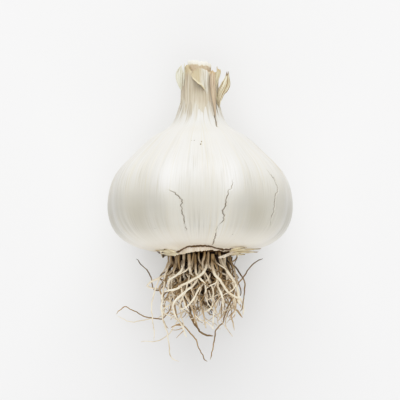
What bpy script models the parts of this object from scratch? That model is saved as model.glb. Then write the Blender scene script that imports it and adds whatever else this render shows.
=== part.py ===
"""A whole garlic bulb as pulled and dried: papery bulb, cut neck, torn skin and a beard of dry roots.

The bulb is modelled standing up, with its axis along Z, its widest circle at height 0 and its
front at -Y. An empty then lays it on its side: the neck points to +Y, the front looks up to +Z,
and the bulb rests on a small flat spot whose middle is the origin. Sizes are millimetres,
turned to metres by MM.
"""
import math

import bmesh
import bpy
import numpy as np
from mathutils import Matrix, Vector

MM = 0.001
GAP = 0.3  # air left between two pieces that meet

# How the bulb lies.
ROOT_END_LIFT = 6.0  # degrees that the root end is tipped up
FLAT_DEPTH = 1.3  # how much of the belly the flat spot takes off

# The bulb: radius and height of its outline, from the rim of the neck to the root end.
BULB_RADIUS = 30.0
NECK_RIM = 34.0
NECK_RADIUS = 6.9
SHEATH_RADIUS = 6.2
SHEATH_TOP = 42.6
STALK_RADIUS = 3.9
STALK_TOP = 46.8
SOCKET_FLOOR = 26.0
PLATE_RADIUS = 11.6
PLATE_FACE = -15.6  # the disc's rim; the roots leave just below it
BASE = -14.7
BULB_OUTLINE = (
    (NECK_RADIUS, NECK_RIM),
    (7.1, 31.2),
    (8.0, 28.6),
    (9.6, 25.9),
    (12.2, 23.9),
    (15.9, 21.9),
    (19.1, 19.3),
    (22.2, 16.6),
    (24.7, 14.0),
    (26.9, 11.4),
    (28.5, 8.4),
    (29.5, 5.2),
    (BULB_RADIUS, 1.6),
    (BULB_RADIUS, -1.2),
    (29.6, -3.9),
    (28.7, -6.5),
    (27.1, -9.1),
    (24.4, -11.5),
    (20.6, -13.4),
    (16.2, -14.5),
    (13.2, BASE),
)
TURN_STEPS = 64
CLOVES = 9
CLOVE_BULGE = 0.55  # how far the skin stands out over a clove, and dips between two

# Roots: half the least distance that two centrelines keep, besides their own radii.
ROOT_CLEARANCE = 0.5
ROOT_STEP = 2.0  # distance between two points of a root
ROOT_FOOT = 0.65  # from the disc to a root's first point
BEARD_ROOTS = 20
BEARD_RADIUS = 0.45
BEARD_SPREAD = 10.0  # how far from the axis a beard root goes before it bends back
GOLDEN_ANGLE = math.radians(137.508)

# Roots that show one by one: radius, then points (across, up, out) from the middle of the disc's face.
FRONT_ROOTS = (
    (0.50, ((2.4, 6.6, 0), (2.4, 10.4, 3.3), (0.4, 12.5, 6.3), (-2.4, 13.2, 8.0), (-5.6, 13.4, 9.8),
            (-8.1, 13.0, 11.2), (-11.4, 12.0, 11.7))),
    (0.42, ((-0.4, 5.6, 0), (-0.2, 8.6, 5.0), (-1.4, 10.8, 8.6), (-3.4, 11.8, 10.4), (-5.9, 12.0, 12.6),
            (-8.1, 12.0, 14.7), (-8.8, 11.5, 17.2), (-7.7, 11.0, 19.7), (-5.9, 10.0, 22.5), (-4.2, 8.0, 26.7))),
    (0.42, ((4.4, 3.4, 0), (4.2, 6.6, 4.4), (2.9, 9.0, 8.4), (0.8, 10.5, 10.5), (-0.6, 10.8, 12.6),
            (-2.4, 10.5, 15.5), (-4.5, 9.5, 17.2), (-6.9, 8.5, 17.9))),
    (0.55, ((4.6, 8.4, 0), (3.3, 10.2, 2.7), (3.8, 11.8, 5.5), (5.7, 12.3, 8.0), (7.1, 12.4, 10.5),
            (9.3, 12.0, 12.6), (12.1, 11.0, 14.0), (13.8, 9.8, 14.2))),
    (0.42, ((1.6, 2.6, 0), (2.4, 6.0, 5.0), (3.4, 7.6, 8.4), (5.4, 8.2, 11.2), (6.6, 7.8, 13.2),
            (5.2, 7.2, 15.8), (2.6, 6.8, 18.2))),
    (0.55, ((-3.1, 8.6, 0), (-3.0, 10.0, 3.4), (-1.9, 10.0, 5.9), (-0.9, 7.6, 9.0), (-0.4, 6.4, 12.4),
            (-1.4, 6.0, 16.0))),
    (0.50, ((-5.2, 7.0, 0), (-5.0, 9.6, 3.6), (-6.4, 10.3, 5.9), (-8.3, 9.8, 7.0), (-10.4, 8.6, 8.8))),
    (0.55, ((7.9, 6.0, 0), (8.2, 8.6, 3.8), (9.6, 9.4, 6.2), (11.4, 9.0, 9.0), (12.6, 7.4, 12.6),
            (12.8, 6.0, 16.4))),
    (0.42, ((-7.9, 4.4, 0), (-8.8, 6.8, 4.4), (-10.4, 7.2, 8.6), (-10.2, 6.4, 13.0), (-8.6, 6.2, 17.4))),
)
STRAY_ROOTS = (
    (0.27, ((-8.6, -2.2, 0), (-10.6, -3.2, 6.4), (-12.6, -3.6, 11.2), (-14.9, -4.0, 11.4), (-15.9, -4.2, 10.2),
            (-15.7, -4.4, 8.7), (-16.6, -4.8, 6.3), (-18.6, -5.2, 3.9), (-20.8, -5.8, 1.7))),
    (0.27, ((8.8, 1.4, 0), (10.4, 1.8, 6.0), (12.0, 2.0, 9.4), (13.4, 1.8, 8.2), (14.8, 1.6, 6.4),
            (16.7, 1.2, 3.9), (18.2, 1.0, 2.4), (20.6, 0.8, 1.6))),
    (0.27, ((-6.4, -6.4, 0), (-7.6, -9.4, 9.0), (-9.2, -12.6, 17.6), (-12.4, -15.2, 21.6), (-16.4, -17.2, 21.3),
            (-19.4, -18.4, 20.6), (-22.2, -19.4, 19.2), (-25.1, -20.4, 17.9), (-27.6, -21.4, 20.4))),
    (0.24, ((-3.4, -9.2, 0), (-5.0, -14.0, 8.6), (-8.0, -20.6, 17.0), (-13.0, -25.4, 21.4), (-18.3, -27.6, 22.4),
            (-23.2, -28.8, 23.2), (-27.4, -28.6, 21.0))),
    (0.27, ((-9.8, 1.8, 0), (-11.8, 1.0, 6.0), (-14.4, -0.6, 12.0), (-15.6, -2.0, 16.6), (-15.2, -3.4, 21.0),
            (-14.9, -5.0, 28.2))),
    (0.27, ((-1.6, -5.2, 0), (-3.2, -7.8, 9.0), (-5.6, -10.6, 18.0), (-9.8, -12.8, 26.2), (-13.9, -14.2, 28.7),
            (-19.4, -15.4, 29.0))),
    (0.30, ((-9.2, 5.6, 0.4), (-11.6, 4.4, 6.4), (-12.5, 4.2, 11.4), (-12.6, 3.6, 16.6), (-12.1, 2.6, 21.1),
            (-11.2, 1.6, 23.9), (-10.1, 0.4, 28.0), (-9.4, -1.2, 33.2), (-7.0, -1.8, 34.8))),
    (0.30, ((-2.8, 2.2, 0), (-6.2, 3.6, 8.0), (-8.1, 4.4, 16.0), (-7.6, 4.6, 20.0), (-4.9, 4.4, 23.6),
            (-2.3, 3.4, 26.4), (-0.6, 2.4, 28.6), (-0.1, 1.4, 31.0), (0.8, 0.4, 33.1), (2.7, -0.6, 35.0))),
    (0.30, ((6.2, -0.8, 0), (9.6, 0.6, 8.0), (11.2, 1.6, 13.4), (9.6, 1.0, 16.6), (8.4, 0.0, 19.8),
            (7.4, -1.2, 22.4), (5.6, -2.2, 24.6), (5.1, -3.2, 27.6), (4.2, -4.6, 31.2), (3.6, -6.0, 34.6))),
    (0.32, ((10.0, 3.6, 0.3), (12.0, 4.6, 6.0), (12.7, 4.8, 12.6), (11.5, 3.8, 17.6), (10.7, 2.8, 20.0),
            (11.3, 1.6, 24.8))),
    (0.27, ((10.4, -1.6, 0.2), (13.6, -1.4, 5.4), (15.6, -1.6, 9.6), (15.0, -2.0, 13.2), (14.6, -2.6, 16.6),
            (13.2, -3.4, 19.4))),
    (0.50, ((0.9, -1.8, 0), (-1.4, -0.6, 9.0), (-2.6, 0.8, 17.6), (-1.3, 0.4, 22.4), (0.9, -0.4, 24.8),
            (3.0, -1.4, 26.1), (4.8, -1.8, 26.2))),
)


def clear_scene():
    for obj in list(bpy.data.objects):
        bpy.data.objects.remove(obj)


def collection(name):
    made = bpy.data.collections.new(name)
    bpy.context.scene.collection.children.link(made)
    return made


def dry_skin(name, colour, roughness):
    """A plain Principled material: every surface of a garlic bulb is dry plant skin."""
    made = bpy.data.materials.new(name)
    made.use_nodes = True
    shader = made.node_tree.nodes["Principled BSDF"]
    shader.inputs["Base Color"].default_value = (*colour, 1.0)
    shader.inputs["Roughness"].default_value = roughness
    shader.inputs["Metallic"].default_value = 0.0
    return made


def add_object(name, data, where, material, parent):
    obj = bpy.data.objects.new(name, data)
    where.objects.link(obj)
    data.materials.append(material)
    obj.parent = parent
    return obj


def solid_of_revolution(name, outline, closed, steps=TURN_STEPS):
    """A mesh turned about Z from (radius, height) points that run down the outer side."""
    mesh = bpy.data.meshes.new(name)
    points = [(radius * MM, 0.0, height * MM) for radius, height in outline]
    edges = [(i, i + 1) for i in range(len(points) - 1)]
    if closed:
        edges.append((len(points) - 1, 0))
    mesh.from_pydata(points, edges, [])
    turned = bpy.data.objects.new(name + "_outline", mesh)
    bpy.context.scene.collection.objects.link(turned)
    screw = turned.modifiers.new("Turn", "SCREW")
    screw.steps = screw.render_steps = steps
    screw.use_merge_vertices = True
    screw.merge_threshold = 0.00001
    graph = bpy.context.evaluated_depsgraph_get()
    made = bpy.data.meshes.new_from_object(turned.evaluated_get(graph))
    bpy.data.objects.remove(turned)
    return made


def polar(point):
    """Angle about the axis, 0 at the front and growing to the right, and distance from the axis in mm."""
    return math.atan2(point.x, -point.y), math.hypot(point.x, point.y) / MM


def clove_swell(angle, height):
    """How far the skin stands off the plain outline in mm: cloves swell the belly, not the neck or the base."""
    belly = max(0.0, 1.0 - ((height - 1.0) / 19.0) ** 2)
    uneven = 0.25 * math.sin(3 * angle + 0.8)
    return belly * CLOVE_BULGE * (uneven - math.cos(CLOVES * angle))


def make_bulb(where, material, parent):
    """The papery wrapper with its cloves inside, one closed body with a socket in its neck for the sheath."""
    outline = [(0.0, SOCKET_FLOOR), (SHEATH_RADIUS + GAP, SOCKET_FLOOR), (SHEATH_RADIUS + GAP, NECK_RIM)]
    outline += list(BULB_OUTLINE)
    outline += [(PLATE_RADIUS + GAP, BASE + 0.3), (PLATE_RADIUS + GAP, PLATE_FACE + 2.4), (0.0, PLATE_FACE + 2.4)]
    mesh = solid_of_revolution("bulb", outline, closed=False)
    for vertex in mesh.vertices:
        angle, radius = polar(vertex.co)
        hollow = NECK_RADIUS if vertex.co.z > 0.0 else PLATE_RADIUS + GAP
        if radius > hollow + 0.1:
            grown = 1.0 + clove_swell(angle, vertex.co.z / MM) / radius
            vertex.co.x *= grown
            vertex.co.y *= grown
    mesh.shade_smooth()
    return add_object("bulb", mesh, where, material, parent)


def lay_down(holder, bulb):
    """Turns the holder so that the bulb lies on its side, FLAT_DEPTH into the ground, and centres the flat spot."""
    tilt = math.radians(90.0 + ROOT_END_LIFT)
    turn = Matrix.Rotation(-tilt, 3, "X")
    lying = [turn @ vertex.co for vertex in bulb.data.vertices]
    lowest = min(point.z for point in lying)
    height = -lowest - FLAT_DEPTH * MM
    cut_off = [point.y for point in lying if point.z + height < 0.0]
    holder.rotation_euler = (-tilt, 0.0, 0.0)
    holder.location = (0.0, -(min(cut_off) + max(cut_off)) / 2, height)
    bpy.context.view_layer.update()


def cut_flat_spot(bulb, where):
    """Takes off the belly below the ground, which leaves the flat spot that the bulb rests on."""
    block_height = 8 * MM
    mesh = bpy.data.meshes.new("ground_block")
    shape = bmesh.new()
    bmesh.ops.create_cube(shape, size=1.0)
    bmesh.ops.scale(shape, vec=(60 * MM, 60 * MM, block_height), verts=shape.verts)
    shape.to_mesh(mesh)
    shape.free()
    block = bpy.data.objects.new("ground_block", mesh)
    where.objects.link(block)
    block.location.z = -block_height / 2
    block.hide_render = True
    block.display_type = "WIRE"
    cut = bulb.modifiers.new("Flat spot", "BOOLEAN")
    cut.operation = "DIFFERENCE"
    cut.object = block


def make_sheath(where, material, parent):
    """The inner leaf sheath, a tube round the stalk whose torn top is ragged."""
    bore = STALK_RADIUS + GAP
    foot = SOCKET_FLOOR + GAP
    outline = (
        (bore, SHEATH_TOP),
        ((bore + SHEATH_RADIUS) / 2, SHEATH_TOP + 0.2),
        (SHEATH_RADIUS - 0.1, SHEATH_TOP),
        (SHEATH_RADIUS, 38.0),
        (SHEATH_RADIUS, 32.0),
        (SHEATH_RADIUS, foot),
        (bore, foot),
        (bore, 34.0),
    )
    mesh = solid_of_revolution("sheath", outline, closed=True, steps=32)
    for vertex in mesh.vertices:
        angle, _ = polar(vertex.co)
        if vertex.co.z > (SHEATH_TOP - 0.5) * MM:
            vertex.co.z += (0.9 * math.sin(2 * angle + 2.4) + 0.5 * math.sin(5 * angle)) * MM
    mesh.shade_smooth()
    return add_object("inner_sheath", mesh, where, material, parent)


def make_stalk(where, material, parent):
    """The cut flower stalk in the middle of the neck, sliced a little aslant."""
    foot = SOCKET_FLOOR + GAP
    outline = (
        (0.0, STALK_TOP - 0.5),
        (2.6, STALK_TOP - 0.3),
        (STALK_RADIUS - 0.5, STALK_TOP),
        (STALK_RADIUS, STALK_TOP - 0.5),
        (STALK_RADIUS, 36.0),
        (STALK_RADIUS, foot),
        (0.0, foot),
    )
    mesh = solid_of_revolution("stalk", outline, closed=False, steps=28)
    slant = 0.2
    for vertex in mesh.vertices:
        if vertex.co.z > (STALK_TOP - 1.0) * MM:
            vertex.co.z -= slant * vertex.co.x
    mesh.shade_smooth()
    return add_object("cut_stalk", mesh, where, material, parent)


def make_root_plate(where, material, parent):
    """The corky disc that the roots grow from, set in the hollow of the base."""
    top = PLATE_FACE + 2.4 - GAP
    outline = (
        (0.0, top),
        (PLATE_RADIUS, top),
        (PLATE_RADIUS, PLATE_FACE),
        (PLATE_RADIUS - 0.8, PLATE_FACE - 0.5),
        (0.0, PLATE_FACE - 0.5),
    )
    mesh = solid_of_revolution("plate", outline, closed=False, steps=36)
    mesh.shade_smooth()
    return add_object("root_plate", mesh, where, material, parent)


def smooth_route(points, step):
    """Points about a step apart along the Catmull-Rom curve through the given points."""
    given = np.array(points, float)
    ends = np.vstack([2 * given[0] - given[1], given, 2 * given[-1] - given[-2]])
    fine = []
    for before, start, end, after in zip(ends, ends[1:], ends[2:], ends[3:]):
        t = np.linspace(0.0, 1.0, 24, endpoint=False)[:, None]
        bend = 2 * before - 5 * start + 4 * end - after
        turn = 3 * start - before - 3 * end + after
        fine.append(0.5 * (2 * start + (end - before) * t + bend * t**2 + turn * t**3))
    fine = np.vstack([*fine, given[-1:]])
    along = np.concatenate([[0.0], np.cumsum(np.linalg.norm(np.diff(fine, axis=0), axis=1))])
    at = np.linspace(0.0, along[-1], max(4, round(along[-1] / step) + 1))
    return np.stack([np.interp(at, along, fine[:, k]) for k in range(3)], axis=1)


def make_strip(name, spine, half_widths, facing, cup, where, material, parent, thickness=0.28):
    """A torn strip of dry leaf: a grid laid along a curved spine, cupped across and given its thickness.

    facing is the way that its face looks; cup is how far its long edges curl that way.
    """
    route = smooth_route(spine, 1.6)
    rows, columns = len(route), 5
    widths = np.interp(np.linspace(0, 1, rows), np.linspace(0, 1, len(half_widths)), half_widths)
    along = np.gradient(route, axis=0)
    shape = bmesh.new()
    bmesh.ops.create_grid(shape, x_segments=columns - 1, y_segments=rows - 1, size=0.5)
    look = np.array(facing, float)
    for vertex in shape.verts:
        row = round((vertex.co.y + 0.5) * (rows - 1))
        across = 2.0 * vertex.co.x
        side = np.cross(along[row], look)
        side /= np.linalg.norm(side)
        out = np.cross(side, along[row])
        out /= np.linalg.norm(out)
        place = route[row] + side * across * widths[row] + out * cup * across**2
        vertex.co = Vector(place * MM)
    mesh = bpy.data.meshes.new(name)
    shape.to_mesh(mesh)
    shape.free()
    mesh.shade_smooth()
    obj = add_object(name, mesh, where, material, parent)
    wall = obj.modifiers.new("Leaf thickness", "SOLIDIFY")
    wall.thickness = thickness * MM
    wall.offset = 0.0
    return obj


def make_neck_strips(where, material, parent):
    """The torn ends of the outer leaves, each peeling off the neck its own way."""
    make_strip("neck_strip_left", ((-7.3, -1.6, 35.2), (-7.5, -1.8, 38.2), (-8.2, -2.0, 41.4), (-7.2, -1.9, 44.6),
                                   (-6.0, -1.6, 46.4)),
               (0.5, 1.3, 1.9, 1.5, 0.35), (-0.8, -1.0, 0.0), -0.5, where, material, parent)
    make_strip("neck_flap_front", ((1.5, -7.6, 37.2), (0.6, -8.0, 39.2), (-0.2, -7.9, 41.2), (0.0, -7.2, 43.4)),
               (0.3, 1.5, 2.9, 3.2), (0.0, -1.0, 0.25), -0.5, where, material, parent)
    make_strip("neck_strip_inner_right", ((6.6, -3.8, 35.4), (5.9, -5.0, 39.0), (5.4, -5.4, 42.6)),
               (0.4, 0.8, 0.9), (0.7, -1.0, 0.0), -0.1, where, material, parent)
    make_strip("neck_strip_tall", ((7.6, -1.8, 34.9), (6.9, -3.1, 37.6), (6.6, -3.2, 41.0), (6.7, -2.9, 44.9)),
               (0.3, 0.7, 0.8, 0.7), (1.0, -0.5, 0.0), -0.1, where, material, parent)
    make_strip("neck_strip_outer", ((8.0, 1.0, 34.4), (8.2, 0.0, 37.0), (8.9, -0.8, 40.2), (9.7, -1.2, 43.0)),
               (0.5, 1.0, 1.4, 0.6), (1.0, -1.1, -0.4), 0.4, where, material, parent)
    make_strip("neck_strip_back", ((-2.0, 7.5, 35.0), (-2.4, 7.9, 38.6), (-2.6, 8.6, 41.6), (-2.2, 9.6, 43.6)),
               (1.2, 1.9, 1.7, 0.5), (-0.3, 1.0, 0.0), -0.4, where, material, parent)


def make_base_flakes(where, material, parent):
    """Torn ends of skin that flare out round the root plate. Each has its angle, reach, width and lift."""
    flakes = (
        ("base_flake_left", -78, 19.0, 2.6, -0.7, -0.6),
        ("base_flake_front_left", -38, 16.2, 3.0, 0.1, -0.4),
        ("base_flake_front", 2, 15.2, 3.9, 0.5, -0.4),
        ("base_flake_front_right", 42, 16.6, 3.0, 0.1, -0.5),
        ("base_flake_right", 82, 20.2, 2.8, -0.8, -0.6),
        ("base_flake_back_right", 134, 16.4, 3.4, 0.1, -0.5),
        ("base_flake_back", 186, 16.0, 3.6, 0.3, -0.4),
        ("base_flake_back_left", 236, 16.8, 3.2, 0.0, -0.5),
    )
    for name, degrees, reach, half_width, lift, cup in flakes:
        angle = math.radians(degrees)
        away = np.array((math.sin(angle), -math.cos(angle), 0.0))
        up = np.array((0.0, 0.0, 1.0))
        inner = PLATE_RADIUS + 0.9
        spine = [away * (inner + (reach - inner) * share) + up * (BASE - drop + lift * share)
                 for share, drop in ((0.0, 1.2), (0.4, 1.3), (0.75, 1.1), (1.0, 0.9))]
        make_strip(name, spine, (half_width, half_width, half_width * 0.75, 0.3), (0.0, 0.0, -1.0), cup,
                   where, material, parent, thickness=0.25)


def beard_route(index, chance):
    """One root of the beard: straight out of the disc at first, then curling and spreading."""
    share = (index + 0.6) / BEARD_ROOTS
    radius = (PLATE_RADIUS - 1.6) * math.sqrt(share)
    angle = index * GOLDEN_ANGLE
    sideways, upwards = math.sin(angle), math.cos(angle)
    low = max(0.0, -upwards)
    length = chance.uniform(17.0, 27.0) + 5.0 * low
    flare = 0.03 + 0.12 * share + 0.12 * low * share
    point = np.array((radius * sideways, radius * upwards, 0.0))
    heading = np.array((0.0, 0.0, 1.0))
    points = [point.copy()]
    for _ in range(9):
        too_far = max(0.0, math.hypot(point[0], point[1]) - BEARD_SPREAD)
        bend_back = 0.012 * too_far
        pull = np.array((flare * sideways - bend_back * point[0],
                         flare * upwards - 0.05 - bend_back * point[1], 0.04))
        heading = heading + pull + chance.normal(0.0, 0.33, 3) * (1.0, 1.0, 0.5)
        heading /= np.linalg.norm(heading)
        point = point + heading * length / 9
        points.append(point.copy())
    return points


def rooted_route(points):
    """The smooth route of a root whose first point is moved to just off the disc, which is tipped."""
    across, up, _ = points[0]
    foot = ROOT_FOOT - up * math.tan(math.radians(ROOT_END_LIFT))
    return smooth_route([(across, up, foot), *points[1:]], ROOT_STEP)


def push_apart(routes, radii, ground):
    """Moves roots aside where they would run through each other or into the ground.

    Each keeps its own bends. Its foot slides along the disc only, and it leaves the disc squarely.
    """
    slope = math.tan(math.radians(ROOT_END_LIFT))
    sizes = [len(route) for route in routes]
    owner = np.repeat(np.arange(len(routes)), sizes)
    rank = np.concatenate([np.arange(size) for size in sizes])
    last = np.concatenate([np.arange(size) == size - 1 for size in sizes])
    start = np.vstack(routes)
    drift = np.zeros_like(start)
    room = np.array(radii)[owner]
    least = np.sqrt((room[:, None] + room[None, :] + ROOT_CLEARANCE) ** 2 + ROOT_STEP**2 / 2)
    least[owner[:, None] == owner[None, :]] = 0.0
    foot = np.flatnonzero(rank == 0)
    eased = (rank > 1) & ~last
    for _ in range(240):
        place = start + drift
        apart = place[:, None, :] - place[None, :, :]
        distance = np.linalg.norm(apart, axis=2) + 1e-9
        lack = np.clip(least - distance, 0.0, None)
        move = (apart / distance[:, :, None] * lack[:, :, None] * 0.35).sum(axis=1)
        drift += np.clip(move, -0.4, 0.4)
        middle = drift.copy()
        middle[1:-1] = (drift[:-2] + drift[2:]) / 2
        drift[eased] += (middle[eased] - drift[eased]) * 0.3
        place = start + drift
        place[foot, :2] = (place[foot, :2] + place[foot + 1, :2]) / 2
        reach = np.linalg.norm(place[foot, :2], axis=1)
        place[foot, :2] *= np.minimum(1.0, (PLATE_RADIUS - 0.9) / reach)[:, None]
        place[foot + 1, :2] = place[foot, :2]
        place[foot, 2] = ROOT_FOOT - place[foot, 1] * slope
        place[foot + 1, 2] = place[foot, 2] + ROOT_STEP
        place[:, 1] = np.maximum(place[:, 1], ground + room + 0.3)
        drift = place - start
    return np.split(place, np.cumsum(sizes)[:-1])


def make_roots(where, material, holder):
    """Every root, as a thin tube that starts just off the disc. They all lie in the ground's frame."""
    chance = np.random.default_rng(8)
    names, radii, routes = [], [], []
    for kind, listed in (("front", FRONT_ROOTS), ("stray", STRAY_ROOTS)):
        for number, (radius, points) in enumerate(listed, 1):
            names.append(f"root_{kind}_{number:02d}")
            radii.append(radius)
            routes.append(rooted_route(points))
    for index in range(BEARD_ROOTS):
        names.append(f"root_beard_{index + 1:02d}")
        radii.append(BEARD_RADIUS * chance.uniform(0.8, 1.1))
        routes.append(rooted_route(beard_route(index, chance)))
    face = holder.matrix_world @ Vector((0.0, 0.0, (PLATE_FACE - 0.5) * MM))
    routes = push_apart(routes, radii, -face.z / MM)
    for name, radius, route in zip(names, radii, routes):
        tube = bpy.data.curves.new(name, "CURVE")
        tube.dimensions = "3D"
        tube.bevel_depth = radius * MM
        tube.bevel_resolution = 1
        tube.use_fill_caps = True
        spline = tube.splines.new("POLY")
        spline.points.add(len(route) - 1)
        for i, (across, up, out) in enumerate(route):
            spline.points[i].co = (across * MM, -out * MM, up * MM, 1.0)
            spline.points[i].radius = 1.0 - 0.45 * i / (len(route) - 1)
        obj = add_object(name, tube, where, material, None)
        obj.location = face


def main():
    clear_scene()
    garlic = collection("garlic_bulb")
    cutters = collection("cutters")
    white_skin = dry_skin("bulb_skin", (0.80, 0.78, 0.72), 0.42)
    tan_leaf = dry_skin("neck_leaf", (0.66, 0.56, 0.42), 0.60)
    stalk_core = dry_skin("stalk_core", (0.72, 0.64, 0.48), 0.75)
    brown_skin = dry_skin("base_skin", (0.60, 0.48, 0.33), 0.65)
    cork = dry_skin("root_plate", (0.36, 0.26, 0.17), 0.85)
    dry_root = dry_skin("dry_root", (0.60, 0.48, 0.34), 0.70)
    holder = bpy.data.objects.new("lying_garlic", None)
    garlic.objects.link(holder)

    bulb = make_bulb(garlic, white_skin, holder)
    lay_down(holder, bulb)
    cut_flat_spot(bulb, cutters)
    make_sheath(garlic, tan_leaf, holder)
    make_stalk(garlic, stalk_core, holder)
    make_neck_strips(garlic, tan_leaf, holder)
    make_root_plate(garlic, cork, holder)
    make_base_flakes(garlic, brown_skin, holder)
    make_roots(garlic, dry_root, holder)


main()
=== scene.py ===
"""A garlic bulb, pulled and dried, lying on its side on a pale table with its neck pointing away."""

import math
import random

import bmesh
import bpy
import numpy as np
from mathutils import Matrix, Vector, noise


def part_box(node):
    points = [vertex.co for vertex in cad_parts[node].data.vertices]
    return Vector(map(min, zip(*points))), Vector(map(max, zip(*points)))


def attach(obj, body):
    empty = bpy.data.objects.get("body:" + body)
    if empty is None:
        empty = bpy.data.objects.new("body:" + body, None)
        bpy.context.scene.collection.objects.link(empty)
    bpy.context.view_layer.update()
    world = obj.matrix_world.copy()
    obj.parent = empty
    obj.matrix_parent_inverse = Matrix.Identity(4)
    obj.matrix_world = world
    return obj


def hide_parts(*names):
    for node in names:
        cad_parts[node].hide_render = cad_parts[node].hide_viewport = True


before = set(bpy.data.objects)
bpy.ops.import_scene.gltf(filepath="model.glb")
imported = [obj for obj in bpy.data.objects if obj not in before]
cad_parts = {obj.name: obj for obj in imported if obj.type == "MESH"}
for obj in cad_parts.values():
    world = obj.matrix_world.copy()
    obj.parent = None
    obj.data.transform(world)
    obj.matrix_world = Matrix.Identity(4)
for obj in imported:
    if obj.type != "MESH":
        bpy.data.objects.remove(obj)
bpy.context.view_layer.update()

# ---------------------------------------------------------------------------------------------
# The bulb: a papery wrapper skin, dried tight over nine cloves. It is shaped standing up, neck
# at the top and front at -Y, ring by ring from the inside of the neck to the hollow that holds
# the root plate; cloves, fibres, torn tongues and splits are then pressed into it.
# ---------------------------------------------------------------------------------------------
MM = 0.001
ROOT_END_LIFT = math.radians(6.0)
AXIS = Vector((0.0, math.cos(ROOT_END_LIFT), -math.sin(ROOT_END_LIFT)))
plate_low, plate_high = (Vector(corner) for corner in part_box("root_plate"))
WIDEST = (plate_low + plate_high) / 2 + AXIS * 14.8 * MM
LIE = Matrix.Translation(WIDEST) @ Matrix.Rotation(-(math.pi / 2 + ROOT_END_LIFT), 4, "X")

# Radius and height of the wrapper, in mm, from the rim of the neck down to the root plate.
WRAPPER = (
    (6.6, 34.0), (6.6, 33.0), (6.85, 32.0), (7.2, 31.0), (7.5, 30.0), (7.85, 29.0), (8.25, 28.0), (8.8, 27.0),
    (9.6, 25.9), (10.8, 24.8), (12.6, 23.7), (14.9, 22.6), (17.0, 21.0), (19.0, 19.0), (21.6, 16.6),
    (24.4, 14.0), (26.9, 11.4), (28.6, 8.4), (29.6, 5.2), (30.1, 1.8), (30.1, -1.4), (29.7, -4.1),
    (28.8, -6.7), (27.2, -9.3), (24.6, -11.7), (21.0, -13.5), (17.8, -14.4), (15.2, -14.9), (13.5, -15.0),
    (12.5, -14.4), (12.0, -13.2),
)
# Where the wrapper has split down between its tongues: degrees round from the front, half the
# notch's width in degrees, and the height in mm of its foot.
NOTCHES = (
    (-38, 2.6, 28.6), (-20, 2.0, 27.4), (7, 9.0, 29.4), (38, 2.0, 27.6), (52, 3.0, 28.4), (80, 4.0, 29.2),
    (108, 4.5, 28.2), (139, 5.0, 29.4), (166, 4.0, 28.2), (-165, 4.5, 29.0), (-137, 4.5, 28.4), (-110, 5.0, 29.3),
    (-84, 3.6, 28.3), (-58, 3.2, 29.4),
)
# The splits in the wrapper: half width in mm, then points, each degrees round from the front and
# height in mm. Three are long, one is the gap below the peeled strip on the neck, the rest are nicks.
SPLITS = (
    (0.13, ((-19.4, 1.9), (-17.4, 1.4), (-15.1, 0.9), (-13.2, -0.1), (-10.6, -1.5), (-11.1, -2.6), (-11.0, -4.2),
            (-10.6, -5.7), (-9.8, -6.8), (-9.9, -8.2), (-9.6, -10.0), (-9.2, -11.3))),
    (0.14, ((20.8, 5.7), (19.5, 3.3), (19.0, 2.1), (17.1, 1.5), (16.3, -0.3), (16.0, -2.2), (15.3, -3.7),
            (14.4, -4.9), (15.1, -6.7), (15.1, -7.8), (12.3, -9.5), (11.7, -10.7), (12.2, -12.1), (12.6, -13.4),
            (13.9, -14.6), (13.6, -15.0))),
    (0.13, ((50.2, 9.9), (51.9, 8.3), (53.9, 6.8), (54.5, 5.3), (55.9, 3.7), (55.3, 2.5), (53.1, 1.3), (52.4, -0.3),
            (52.3, -2.7), (52.7, -3.8), (52.0, -5.4), (52.3, -6.9), (53.4, -8.3), (52.6, -9.2))),
    (0.27, ((38.2, 28.8), (37.3, 27.4), (36.2, 26.6), (33.5, 25.6), (31.0, 24.9), (28.5, 23.9))),
    (0.16, ((-5.5, 18.9), (-4.5, 18.4))),
    (0.14, ((-8.3, 18.7), (-7.4, 18.9))),
    (0.14, ((1.9, 18.6), (2.3, 17.9))),
    (0.20, ((0.8, 17.7), (1.1, 16.8))),
    (0.20, ((-33.4, -9.8), (-32.4, -10.0))),
    (0.18, ((25.2, -11.8), (26.1, -12.0))),
)
SPLIT_BANDS = (0.9, 0.6, 0.28)  # how near to a split the mesh is cut finer, in mm, once for each
# The wrapper's torn lower edge: degrees round from the front, radius and height in mm. It ends in
# a dry brown lip, LIP mm high, which the heights give the middle of.
LIP = 0.66
OUTER_EDGE = (
    (-180, 13.4, -15.2), (-160, 14.0, -14.9), (-142, 13.2, -15.7), (-125, 13.9, -15.1), (-108, 13.2, -15.6),
    (-90, 13.6, -15.2), (-75, 13.5, -15.3), (-62, 13.4, -15.6), (-50, 13.3, -15.9), (-41, 13.2, -16.4),
    (-34, 13.2, -16.7), (-28, 13.3, -16.2), (-22, 13.4, -15.6), (-16, 13.5, -15.1), (-10, 13.5, -14.85),
    (0, 13.5, -14.75), (11, 13.5, -14.7), (17, 13.5, -15.0), (22, 13.5, -15.4), (34, 13.5, -15.65),
    (45, 13.5, -15.4), (56, 13.6, -15.2), (70, 13.9, -15.0), (85, 13.5, -15.2), (105, 13.4, -15.7),
    (125, 13.2, -15.3), (145, 14.1, -14.9), (160, 13.4, -15.6), (180, 13.4, -15.2),
)


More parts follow.
